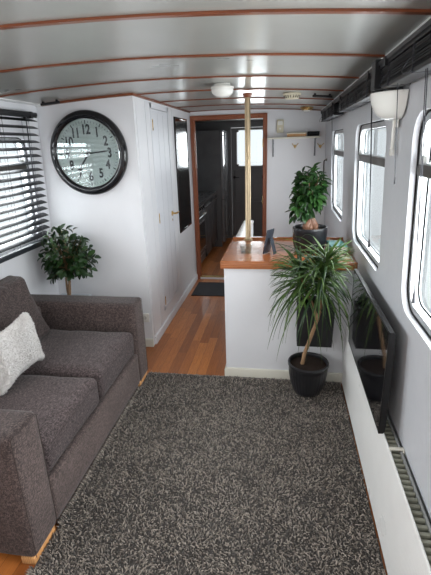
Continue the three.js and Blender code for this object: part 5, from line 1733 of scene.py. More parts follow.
def leaves(g, base, direction, up, length, width, fold=0.22, droop=0.25, k=0, rows=LEAF_ROWS, tip=1.0):
    """One closed thin leaf: folded along its midrib and arched."""
    d = Vector(direction).normalized()
    u = Vector(up)
    s = d.cross(u)
    if s.length < 1e-3:
        s = d.cross(Vector((1, 0, 0)))
    s.normalize()
    u = s.cross(d).normalized()
    verts, p, cur = [], Vector(base), d.copy()
    last = 0.0
    for t, w in rows:
        stepl = (t - last) * length
        p = p + cur * stepl
        last = t
        cur = (cur - Vector((0, 0, droop * 0.42)) * 1.0).normalized()
        nrm = s.cross(cur).normalized()
        hw = w * width / 2
        verts += [p - s * hw + nrm * (hw * fold * 2), p - nrm * 0.35, p + s * hw + nrm * (hw * fold * 2), p - nrm * 1.1]
    p = p + cur * ((tip - last) * length)
    verts.append(p)
    f, m = [], len(rows)
    for j in range(m - 1):
        a, b = 4 * j, 4 * (j + 1)
        f += [(a, a + 1, b + 1, b), (a + 1, a + 2, b + 2, b + 1), (a + 2, a + 3, b + 3, b + 2), (a + 3, a, b, b + 3)]
    e = 4 * (m - 1)
    f += [(e, e + 1, 4 * m), (e + 1, e + 2, 4 * m), (e + 2, e + 3, 4 * m), (e + 3, e, 4 * m), (3, 2, 1, 0)]
    g.add(verts, f, k)
    return p


def bush(g, wood_g, start, centre, radii, twigs, per, size, seed, keep, low=-0.55, drop=0.3, spread=0.5):
    rnd = random.Random(seed)
    c = Vector(centre)
    gold = math.pi * (3 - math.sqrt(5))
    for i in range(twigs):
        z = 1 - (1 - low) * (i + 0.5) / twigs
        r = math.sqrt(max(0.02, 1 - z * z))
        a = gold * i + rnd.uniform(-0.3, 0.3)
        reach = rnd.uniform(0.62, 0.92)
        end = c + Vector((r * math.cos(a) * radii[0], r * math.sin(a) * radii[1], z * radii[2])) * reach
        mid = Vector(start).lerp(end, 0.5) + Vector((0, 0, rnd.uniform(10, 50)))
        path = []
        for j in range(9):
            t = j / 8
            path.append(Vector(start) * (1 - t) ** 2 + mid * 2 * t * (1 - t) + end * t * t)
        if not all(keep(p) for p in path):
            continue
        wood_g.tube(path, [3.6 - 2.7 * t / 8 for t in range(9)], 5)
        for j in range(per):
            t = 1 - spread * j / per
            q = min(7, int(t * 8))
            p = path[q].lerp(path[q + 1], t * 8 - q) if q < 8 else path[8]
            tang = (path[min(8, q + 1)] - path[max(0, q - 1)]).normalized()
            phi = 2.4 * j + rnd.uniform(-0.4, 0.4)
            side = tang.orthogonal().normalized()
            side = Matrix.Rotation(phi, 3, tang) @ side
            outward = (p - c)
            outward = outward.normalized() if outward.length > 1 else Vector((0, 0, 1))
            d = (tang * 0.45 + side * 0.8 + outward * 0.45 + Vector((0, 0, -drop + rnd.uniform(-0.1, 0.2)))).normalized()
            ln = size[0] * rnd.uniform(0.75, 1.2)
            if not keep(p + d * ln) or not keep(p):
                continue
            upv = (outward + Vector((0, 0, 0.9))).normalized()
            leaves(g, p, d, upv, ln, ln * size[1] * rnd.uniform(0.85, 1.15), droop=rnd.uniform(0.1, 0.5))
            wood_g.tube([p, p + d * 4], 0.8, 3)


def wavy_trunk(g, points, radii, lumps, seed, sides=12):
    """A trunk with swellings: radius varies round and along it."""
    n = len(points)
    verts, faces = [], []
    dense = []
    for i in range(n - 1):
        a, b = Vector(points[i]), Vector(points[i + 1])
        for j in range(5):
            t = j / 5
            dense.append((a.lerp(b, t), radii[i] * (1 - t) + radii[i + 1] * t))
    dense.append((Vector(points[-1]), radii[-1]))
    for i, (p, r) in enumerate(dense):
        tan = (dense[min(i + 1, len(dense) - 1)][0] - dense[max(i - 1, 0)][0]).normalized()
        s = tan.orthogonal().normalized()
        u = tan.cross(s)
        for k in range(sides):
            a = 2 * math.pi * k / sides
            q = s * math.cos(a) + u * math.sin(a)
            rr = r * (1 + lumps * mnoise.noise((p + q * r) / 22 + Vector((seed, 0, 0))))
            verts.append(p + q * rr)
    m = len(dense)
    for i in range(m - 1):
        faces += [(i * sides + k, i * sides + (k + 1) % sides, (i + 1) * sides + (k + 1) % sides, (i + 1) * sides + k) for k in range(sides)]
    faces += [tuple(range(sides))[::-1], tuple((m - 1) * sides + k for k in range(sides))]
    g.add(verts, faces)


def soil_top(g, cx, cy, z, r, k=0, seed=1):
    rings, sides = 7, 28
    verts = [(cx, cy, z + 2)]
    for i in range(1, rings + 1):
        for j in range(sides):
            a = 2 * math.pi * j / sides
            rr = r * i / rings
            x, y = cx + rr * math.cos(a), cy + rr * math.sin(a)
            verts.append((x, y, z + (4.5 * mnoise.noise(Vector((x / 11, y / 11, seed))) if i < rings else -3)))
    n0 = len(verts)
    verts += [(x, y, z - 14) for x, y, _ in verts[-sides:]]
    faces = [(0, 1 + j, 1 + (j + 1) % sides) for j in range(sides)]
    for i in range(rings - 1):
        a, b = 1 + i * sides, 1 + (i + 1) * sides
        faces += [(a + j, b + j, b + (j + 1) % sides, a + (j + 1) % sides) for j in range(sides)]
    a = 1 + (rings - 1) * sides
    faces += [(a + j, n0 + j, n0 + (j + 1) % sides, a + (j + 1) % sides) for j in range(sides)]
    faces.append(tuple(n0 + j for j in range(sides))[::-1])
    g.add(verts, faces, k)


def plants():
    # corner plant: dense small leaves over a thin trunk in a tall square white pot
    pot = Build()
    for z0, z1, h0, h1 in ((0.6, 560, 104, 128),):
        pot.add([(-945 + sx * h, 2820 + sy * h, z) for z, h in ((0.6, 104), (464, 124), (470, 130), (498, 130), (500, 128), (500, 118), (464, 114)) for sx, sy in ((-1, -1), (1, -1), (1, 1), (-1, 1))],
                [(3, 2, 1, 0)] + [(4 * i + j, 4 * i + (j + 1) % 4, 4 * i + 4 + (j + 1) % 4, 4 * i + 4 + j) for i in range(6) for j in range(4)] + [(24, 25, 26, 27)])
    o = pot.make("corner_plant_pot", "pot_white", angle=25, replaces="corner_plant")
    b = o.modifiers.new("edge", "BEVEL")
    b.width, b.segments, b.limit_method, b.angle_limit = 0.004, 2, "ANGLE", math.radians(30)
    soil = Build()
    soil_top(soil, -945, 2820, 470, 112)
    soil.make("corner_plant_soil", "soil")
    wood_g, leaf_g = Build(), Build()
    wavy_trunk(wood_g, [(-937, 2816, 462), (-930, 2813, 540), (-914, 2808, 630), (-900, 2802, 720), (-885, 2800, 790)], [14, 12.5, 11, 10, 8], 0.35, 2, 10)
    wavy_trunk(wood_g, [(-944, 2824, 462), (-949, 2827, 560), (-946, 2826, 660), (-930, 2822, 740), (-925, 2815, 800)], [10, 9, 8, 7, 6], 0.3, 5, 8)

    def keep(p):
        return -1108 < p.x < -655 and 2628 < p.y < 3040 and p.z > 600 and not (p.x < -1046 and p.z > 905 and p.y < 2975)
    bush(leaf_g, wood_g, (-899, 2802, 745), (-907, 2808, 850), (226, 190, 240), 68, 8, (58, 0.60), 21, keep, low=-0.85, drop=0.12, spread=0.6)
    wood_g.make("corner_plant_stems", "bark")
    leaf_g.make("corner_plant_leaves", "leaf_dark", angle=60, outward=False)
    # counter plant: swollen forked root, glossy drooping leaves, round black pot
    pot = Build()
    x, y = 866.0, 2950.0
    pot.lathe([(0, 868.6), (92, 868.6), (97, 872), (103, 888), (112, 924), (117, 972), (118.5, 1020), (119, 1034), (117, 1039.5), (112, 1040), (109, 1036), (108, 1012), (0, 1012)], (x, y, 0), "Z", 56)
    pot.make("counter_plant_pot", "gloss_pot", replaces="counter_plant")
    soil = Build()
    soil_top(soil, x, y, 1018, 108, 0, 7)
    soil.make("counter_plant_soil", "soil")
    wood_g, leaf_g = Build(), Build()
    wavy_trunk(wood_g, [(x - 26, y - 16, 1008), (x - 24, y - 12, 1044), (x - 12, y - 4, 1082), (x - 2, y, 1120), (x - 2, y + 2, 1160)], [25, 30, 23, 19, 12], 0.35, 1, 14)
    wavy_trunk(wood_g, [(x + 30, y - 20, 1008), (x + 30, y - 12, 1038), (x + 16, y - 4, 1072), (x + 4, y, 1116)], [18, 26, 22, 16], 0.35, 4, 14)
    wavy_trunk(wood_g, [(x + 4, y + 32, 1008), (x + 4, y + 24, 1044), (x, y + 8, 1080), (x, y, 1112)], [20, 24, 18, 14], 0.3, 8, 12)
    wavy_trunk(wood_g, [(x - 2, y - 30, 1010), (x + 2, y - 26, 1038), (x + 2, y - 12, 1068)], [11, 15, 12], 0.4, 3, 10)

    def keep2(p):
        return 660 < p.x < 1098 and 2786 < p.y < 3140 and 1060 < p.z < 1486
    bush(leaf_g, wood_g, (x - 1, y + 1, 1148), (x - 14, y + 6, 1290), (118, 112, 178), 46, 9, (66, 0.46), 33, keep2, low=-0.9, drop=0.3, spread=0.66)
    bush(leaf_g, wood_g, (x - 10, y, 1148), (x - 78, y - 12, 1176), (60, 80, 100), 14, 8, (66, 0.45), 35, keep2, low=-0.9, drop=0.55, spread=0.6)
    wood_g.make("counter_plant_root", "root_bark", angle=70)
    leaf_g.make("counter_plant_leaves", "leaf_mid", angle=60, outward=False)
    # floor plant: ribbed tapering pot, leaning canes, fountains of long narrow leaves
    x, y = 861.0, 2470.0
    pot = Build()
    prof = [(28.6, 78), (34, 84), (60, 97), (90, 107), (130, 116), (180, 124), (226, 128.5)]
    sides = 132
    verts, faces = [], []
    for z, r in prof:
        for k in range(sides):
            a = 2 * math.pi * k / sides
            rib = 2.6 * (0.5 + 0.5 * math.cos(33 * a)) if 30 < z < 225 else 0
            verts.append((x + (r - 2.6 + rib) * math.cos(a), y + (r - 2.6 + rib) * math.sin(a), z))
    for z, r in ((230, 130), (236, 130.8), (247, 130.8), (251, 128.5), (252, 124), (249, 119), (238, 117), (226, 116)):
        verts += [(x + r * math.cos(2 * math.pi * k / sides), y + r * math.sin(2 * math.pi * k / sides), z) for k in range(sides)]
    m = len(prof) + 8
    for i in range(m - 1):
        faces += [(i * sides + k, i * sides + (k + 1) % sides, (i + 1) * sides + (k + 1) % sides, (i + 1) * sides + k) for k in range(sides)]
    faces += [tuple(range(sides))[::-1], tuple((m - 1) * sides + k for k in range(sides))]
    pot.add(verts, faces)
    pot.make("floor_plant_pot", "pot", angle=50, replaces="floor_plant")
    soil = Build()
    soil_top(soil, x, y, 230, 116, 0, 12)
    soil.make("floor_plant_soil", "soil")
    canes, leaf_g = Build(), Build()
    heads = []
    wavy_trunk(canes, [(823, 2470, 222), (833, 2465, 300), (853, 2455, 380), (874, 2443, 460), (894, 2431, 540), (912, 2420, 620), (913, 2404, 710), (904, 2390, 790), (898, 2383, 850)], [12.5, 12, 11.5, 11, 11, 10.5, 10, 9.5, 9], 0.2, 2, 12)
    wavy_trunk(canes, [(899, 2428, 560), (880, 2436, 630), (842, 2444, 720), (808, 2449, 790), (790, 2450, 832)], [8.5, 8.5, 8, 8, 7.5], 0.15, 6, 10)
    wavy_trunk(canes, [(911, 2420, 620), (930, 2422, 720), (937, 2421, 830), (936, 2420, 915)], [8, 7.5, 7.5, 7], 0.12, 9, 8)
    heads = [((898, 2383, 838), 96, 470, 7), ((790, 2450, 822), 96, 440, 17), ((936, 2420, 905), 76, 430, 27)]
    for (hx, hy, hz), count, reach, seed in heads:
        rnd = random.Random(seed)
        for i in range(count):
            t = i / count
            a = 2.39996 * i + rnd.uniform(-0.2, 0.2)
            lift = 1.15 - 1.75 * t + rnd.uniform(-0.15, 0.15)
            base = Vector((hx + 6 * math.cos(a), hy + 6 * math.sin(a), hz + 62 - 120 * t))
            d = Vector((math.cos(a), math.sin(a), lift)).normalized()
            ln = reach * rnd.uniform(0.72, 1.1) * (0.78 + 0.4 * t)
            w = rnd.uniform(12, 19)
            n = 12
            p, cur = base.copy(), d.copy()
            side = Vector((-math.sin(a), math.cos(a), 0)) + Vector((0, 0, rnd.uniform(-0.25, 0.25)))
            side.normalize()
            vs, ok = [], True
            sag = rnd.uniform(0.13, 0.27) * (1.0 + 0.5 * t)
            twist = rnd.uniform(-0.5, 0.5)
            for j in range(n):
                f = j / (n - 1)
                hw = w / 2 * (0.55 + 0.45 * math.sin(math.pi * min(1, f * 1.6 + 0.15))) * (1 - f ** 3)
                hw = max(hw, 0.5)
                nr = side.cross(cur).normalized()
                s2 = Matrix.Rotation(twist * f, 3, cur) @ side
                vs += [p - s2 * hw + nr * hw * 0.35, p + s2 * hw + nr * hw * 0.35, p - nr * 0.9]
                p = p + cur * (ln / (n - 1))
                cur = (cur + Vector((0, 0, -sag * (0.35 + f)))).normalized()
                if not (600 < p.x < (1070 if p.y < 2364 else 1094) and 2120 < p.y < (2622 if p.z < 892 else 2790) and p.z > 372) or (p.y > 2492 and p.z < 626 and p.x > 768) or p.z > 1075:
                    ok = False
                    if j < 4:
                        break
                    break
            if len(vs) < 12:
                continue
            q = len(vs) // 3
            if not ok:
                # a leaf that would reach a neighbour ends short, in its own point
                end = Vector(vs[-1])
                vs[-3:] = [end + (Vector(vs[-3]) - end) * 0.12, end + (Vector(vs[-2]) - end) * 0.12, end]
            fs = []
            for j in range(q - 1):
                b0, b1 = 3 * j, 3 * (j + 1)
                fs += [(b0, b0 + 1, b1 + 1, b1), (b0 + 1, b0 + 2, b1 + 2, b1 + 1), (b0 + 2, b0, b1, b1 + 2)]
            fs += [(2, 1, 0), (3 * q - 3, 3 * q - 2, 3 * q - 1)]
            leaf_g.add(vs, fs)
    canes.make("floor_plant_canes", "cane_bark", angle=70)
    leaf_g.make("floor_plant_leaves", "leaf_long", angle=60)


MAT["gloss_pot"] = plastic("pot_gloss_black", (0.008, 0.008, 0.010), 0.3, coat=0.15, vary=0.3)
MAT["root_bark"] = wood("root_bark", (0.065, 0.028, 0.016), (0.21, 0.098, 0.055), "Z", across=1.2, rough=0.55, coat=0.05, depth=0.5)
MAT["cane_bark"] = wood("cane_bark", (0.16, 0.088, 0.045), (0.42, 0.26, 0.145), "X", across=2.0, rough=0.75, coat=0.0, depth=0.6)
plants()


def planter():
    g = Build()
    # half-round wall basket: woven-look ribs round a tapering shell, hung on a back plate
    cy = 2648.0
    n = 26
    rows = [(340, 0.86), (346, 0.92), (362, 0.955), (410, 0.972), (480, 0.985), (560, 1.0), (600, 1.01), (612, 1.03)]
    verts = []
    cols = 2 * n + 1
    for shell in (0, 1):
        for z, s in (rows if not shell else rows[::-1]):
            for i in range(cols):
                a = math.pi * i / (cols - 1)
                e = 0.42
                ca, sa = math.cos(a), math.sin(a)
                rx = (115 * s - 9 * shell) * math.copysign(abs(ca) ** e, ca)
                ry = (141 * s - 9 * shell) * abs(sa) ** e
                rib = (1.2 if i % 2 else -1.2) if not shell and 350 < z < 605 else 0
                verts.append((896 + rx * (1 + rib / 140), cy - 1 - ry * (1 + rib / 140), z if not shell else max(z, 348)))
    faces = []
    m = 2 * len(rows)
    for r in range(m - 1):
        for i in range(cols - 1):
            a = r * cols + i
            faces.append((a, a + 1, a + cols + 1, a + cols))
    faces.append(tuple(range(cols))[::-1])
    last = (m - 1) * cols
    faces.append(tuple(last + i for i in range(cols)))
    for r in range(m - 1):
        a, b = r * cols, r * cols + cols - 1
        # both straight ends against the counter
    g.add(verts, faces)
    back = [r * cols for r in range(m)] + [r * cols + cols - 1 for r in range(m)][::-1]
    g.add([verts[i] for i in back], [tuple(range(len(back)))])
    g.make("planter_basket", "black", angle=50)
    b = Build()
    cube(b, 800, 992, 2640, 2649.4, 560, 640, 4)
    for x in (830, 962):
        screw(b, (x, 2640, 626), "Y", 4.5, 1, -1)
    run = [(784, 2644, 612), (788, 2566, 612), (842, 2513, 612), (896, 2506, 612), (950, 2513, 612), (1004, 2566, 612), (1008, 2644, 612)]
    b.tube(run, 4.5, 8)
    b.make("planter_rim", ["black", "steel"])


planter()


# ---------- galley ----------
def galley():
    y0, y1 = 4999.0, 5595.0
    # oven door: dark glass in a steel surround, with a round bar handle on posts
    d = Build()
    cube(d, -381.5, -365.0, y0, y1, 235, 770, 2.5)
    d.prism(round_rect(540, 330, 16, 5), lambda a, b, t: (t, (y0 + y1) / 2 + a, 462 + b), -365.6, -362.6, 1)
    cube(d, -365.2, -362.4, y0 + 2, y1 - 2, 640, 652, 0.8, 2)
    cube(d, -365.2, -362.4, y0 + 2, y1 - 2, 272, 284, 0.8, 2)
    d.tube([(-336, 5054, 735), (-336, 5540, 735)], 8.5, 16, 2)
    for y in (5082, 5512):
        d.tube([(-364, y, 735), (-350, y, 735), (-337, y, 735)], [9, 6.5, 6.5], 12, 2)
    d.make("oven_front", ["dark", "hob", "steel"], "oven_door", replaces="oven_door")
    f = Build()
    cube(f, -386.6, -377, y0, y1, 776, 864, 2)
    for i in range(5):
        yy = y0 + 90 + 104 * i
        f.lathe([(0, 0), (18, 0), (18, 3), (14.5, 6), (13.5, 21), (11, 23), (0, 23.5)], (-377, yy, 820), "X", 28, 1)
        cube(f, -354.6, -352.8, yy - 1.1, yy + 1.1, 822, 832, 0.4, 2, 1)
    cube(f, -386.6, -374, y0, y1, 108, 229, 2.5, 3)
    cube(f, -375, -366, y0 + 60, y1 - 60, 205, 217, 3, 0)
    f.make("oven_panel", ["steel", "gloss_black", "socket", "dark"])
    # cupboard leaves: raised stiles round a sunk panel, with a steel edge pull along the top
    for tag, a, b in (("aft", 5607, 6115), ("forward", 6127, 6635)):
        c = Build()
        cube(c, -381.5, -366.5, a, b, 108, 862, 2)
        for q0, q1, r0, r1 in ((a, b, 812, 862), (a, b, 108, 166), (a, a + 56, 108, 862), (b - 56, b, 108, 862)):
            cube(c, -368, -363.5, q0, q1, r0, r1, 1.5)
        cube(c, -364.2, -352, a + 40, b - 40, 796, 806, 3, 1)
        for q in (a + 56, b - 68):
            cube(c, -366, -352.5, q, q + 12, 797, 805, 1, 1)
        c.make(f"cupboard_front_{tag}", ["dark", "steel"], "cupboard_door_" + tag, replaces="cupboard_door_" + tag)
    # hob, steel lip, splash strip and a tap with its basin rim
    h = Build()
    h.prism(round_rect(500, 560, 12, 4), lambda a, b, t: (-690 + a, 5300 + b, t), 900.2, 905.5, 0)
    for cx, cy, r in ((-800, 5150, 62), (-800, 5440, 48), (-570, 5150, 48), (-570, 5440, 70)):
        h.lathe([(0, 905.4), (r, 905.4), (r, 911), (r * 0.8, 918), (0, 919)], (cx, cy, 0), "Z", 32, 1)
        for q in range(4):
            t = math.pi / 2 * q + math.pi / 4
            h.tube([(cx + math.cos(t) * r * 1.5, cy + math.sin(t) * r * 1.5, 906), (cx + math.cos(t) * r * 1.4, cy + math.sin(t) * r * 1.4, 927), (cx + math.cos(t) * r * 0.4, cy + math.sin(t) * r * 0.4, 929)], 3.6, 6, 1)
    h.make("galley_hob", ["hob", "black"])
    e = Build()
    run_y(e, [(-352, 866.5), (-347, 868), (-346, 874), (-346, 896), (-348, 901), (-353, 902), (-362, 901.5), (-362, 900.2), (-352, 900.2)], 4992, 6650)
    run_y(e, [(-1140, 900.4), (-1128, 900.4), (-1128, 946), (-1142, 948)], 4996, 6650)
    rim = [(-900 + a, 6100 + b, 901.5) for a, b in round_rect(330, 400, 50, 6)]
    rim = [(-740 + a, 6100 + b, 901.5) for a, b in round_rect(360, 430, 50, 6)]
    e.tube(rim, 4.5, 8, closed=True)
    e.prism(round_rect(346, 416, 46, 6), lambda a, b, t: (-740 + a, 6100 + b, t), 900.3, 901.2, 1)
    e.lathe([(0, 900.5), (26, 900.5), (26, 906), (17, 912), (16, 960), (0, 962)], (-985, 6100, 0), "Z", 24)
    e.tube([(-985, 6100, 955), (-985, 6100, 1120), (-975, 6100, 1158), (-945, 6100, 1176), (-900, 6100, 1170), (-872, 6100, 1140), (-866, 6100, 1100)], 10, 12)
    e.tube([(-985, 6100, 940), (-985, 6066, 946), (-985, 6040, 962)], [8, 7, 6], 10)
    e.make("galley_steel_trim", ["steel_long", "gunmetal"])
    # tall unit: two rounded doors on one leaf, a bar handle down their near edge, kick plate
    t = Build()
    q0, q1 = 6667, 7298
    for z0, z1 in ((92, 762), (770, 1795)):
        run = [(-286.4, q0), (-286.4, q1), (-258, q1), (-250, q1 - 6), (-246.6, q1 - 18), (-246.6, q0 + 22), (-249, q0 + 10), (-254, q0 + 3.5), (-262, q0)]
        t.prism(run, lambda a, b, z: (a, b, z), z0, z1)
    t.make("tall_unit_front", "tall", "tall_unit_door", angle=50, replaces="tall_unit_door")
    b = Build()
    for z0, z1 in ((905, 1770), (250, 735)):
        b.tube([(-219, q0 + 30, z0), (-219, q0 + 30, z1)], 12, 20)
        for zz in (z0 + 45, z1 - 45):
            b.tube([(-247, q0 + 30, zz), (-222, q0 + 30, zz)], 7.5, 12)
    b.make("tall_unit_handles", "bar_grey", "tall_unit_door")
    k = Build()
    cube(k, -300, -292.4, 6668, 7298, 4, 84, 2)
    cube(k, -455, -448, 4996, 6638, 4, 99, 2)
    k.make("galley_kicks", "gunmetal")
    # wall cupboard over the worktop, and a dark splash panel behind
    w = Build()
    sp = lambda z: -(inside_half(z) - 2)
    w.prism([(4999, 952), (6640, 952), (6640, 1330), (4999, 1330)], lambda a, b, s: (sp(b) + s, a, b), 0.4, 4)
    w.make("galley_splash", "tall")
    shelf_ = Build()
    shelf_.prism([(sp(1400), 1400), (sp(1800), 1798), (-800, 1798), (-800, 1400)], lambda a, b, s: (a, s, b), 5060, 6600)
    for i in range(3):
        cube(shelf_, -800, -786, 5064 + 513 * i, 5064 + 513 * i + 507, 1404, 1794, 2.5)
        cube(shelf_, -786.5, -776, 5064 + 513 * i + 190, 5064 + 513 * i + 316, 1418, 1428, 3, 1)
    shelf_.make("galley_wall_cupboards", ["dark", "steel"])


MAT["steel_long"] = metal("steel_edge", (0.62, 0.63, 0.64), 0.18, "Y")
MAT["bar_grey"] = plastic("bar_handle_grey", (0.20, 0.205, 0.21), 0.2, coat=0.6)
galley()


# ---------- end doors ----------
def end_doors():
    # forward door: white rounded window frame with dark corner clips, both faces; handle; planted mouldings
    gx0, gx1, gz0, gz1 = -105, 355, 1238, 1808
    mx, mz = (gx0 + gx1) / 2, (gz0 + gz1) / 2
    g = Build()
    for y, s in ((7354.6, -1), (7395.4, 1)):
        outer = round_rect(gx1 - gx0 + 16, gz1 - gz0 + 16, 62, 8)
        inner = round_rect(gx1 - gx0 - 4, gz1 - gz0 - 4, 53, 8)
        n = len(outer)
        v = [(mx + a, y, mz + b) for a, b in outer] + [(mx + a, y + s * 5, mz + b) for a, b in outer] + [(mx + a, y + s * 5, mz + b) for a, b in inner] + [(mx + a, y, mz + b) for a, b in inner]
        g.add(v, [(r * n + i, r * n + (i + 1) % n, ((r + 1) % 4) * n + (i + 1) % n, ((r + 1) % 4) * n + i) for r in range(4) for i in range(n)])
        for cx in (gx0 + 16, gx1 - 16):
            for cz in (gz0 + 16, gz1 - 16):
                g.lathe([(0, 0), (11, 0), (12, 2), (9, 6), (0, 7)], (cx, y + s * 4, cz), "Y", 18, 1, s)
    g.make("forward_door_window_frame", ["window_white", "black"], "forward_door")
    p = Build()
    for y, s in ((7355, -1), (7395, 1)):
        for z0, z1 in ((120, 640), (700, 1170)):
            ring = [(-150, z0), (355, z0), (355, z1), (-150, z1)]
            p.tube([(a, y + s * 1.5, b) for a, b in ring], 5, 6, closed=True)
    p.make("forward_door_mouldings", "grey_or_cream", "forward_door")
    h = Build()
    for y, s in ((7355, -1), (7395, 1)):
        h.lathe([(0, 0), (22, 0), (23, 2), (18, 6), (10, 8), (9, 16), (0, 16)], (-150, y, 1056), "Y", 24, 0, s)
        h.tube([(-150, y + s * 14, 1056), (-150, y + s * 38, 1056), (-142, y + s * 46, 1056), (-60, y + s * 46, 1053)], [8, 8, 8, 6.5], 12)
    h.make("forward_door_handle", "black", "forward_door")
    q = Build()
    cube(q, 318, 350, 7348, 7354.8, 1030, 1080, 2)
    cube(q, 340, 352, 7346, 7354.8, 300, 330, 2)
    q.make("forward_door_clips", "black", "forward_door")
    # aft door: brass furniture, window bead, panel moulding below
    gx0, gx1, gz0, gz1 = -265, 262, 760, 1730
    mx, mz = (gx0 + gx1) / 2, (gz0 + gz1) / 2
    g = Build()
    for y, s in ((-715, 1), (-755, -1)):
        outer = round_rect(gx1 - gx0 + 44, gz1 - gz0 + 44, 62, 8)
        inner = round_rect(gx1 - gx0 - 6, gz1 - gz0 - 6, 42, 8)
        n = len(outer)
        v = [(mx + a, y + s * 0.3, mz + b) for a, b in outer] + [(mx + a, y + s * 7, mz + b) for a, b in outer] + [(mx + a, y + s * 9, mz + b) for a, b in inner] + [(mx + a, y + s * 0.3, mz + b) for a, b in inner]
        g.add(v, [(r * n + i, r * n + (i + 1) % n, ((r + 1) % 4) * n + (i + 1) % n, ((r + 1) % 4) * n + i) for r in range(4) for i in range(n)])
    g.make("aft_door_window_bead", "rail_x", "aft_door")
    p = Build()
    for y, s in ((-715, 1), (-755, -1)):
        ring = [(-290, 130), (288, 130), (288, 660), (-290, 660)]
        p.tube([(a, y + s * 1.0, b) for a, b in ring], 7, 8, closed=True)
        p.tube([(a * 0.86 - 0.3, y + s * 1.0, 395 + (b - 395) * 0.84) for a, b in ring], 4, 8, closed=True)
    p.make("aft_door_mouldings", "door_white", "aft_door")
    h = Build()
    for y, s in ((-715, 1), (-755, -1)):
        cube(h, 296, 330, min(y, y + s * 4), max(y, y + s * 4), 900, 1080, 2)
        h.tube([(313, y + s * 3, 1030), (313, y + s * 40, 1030), (306, y + s * 50, 1030), (210, y + s * 50, 1026)], [8.5, 8.5, 8.5, 7], 12)
        h.lathe([(0, 0), (8, 0), (8, 3), (0, 4)], (313, y + s * 3, 950), "Y", 16, 0, s)
    h.make("aft_door_handle", "brass_any", "aft_door")


MAT["window_white"] = plastic("window_trim_white", (0.80, 0.81, 0.82), 0.35)
MAT["rail_x"] = wood("varnish_bead", (0.125, 0.030, 0.011), (0.34, 0.098, 0.036), "Z")
MAT["grey_or_cream"] = MAT["grey"]
end_doors()


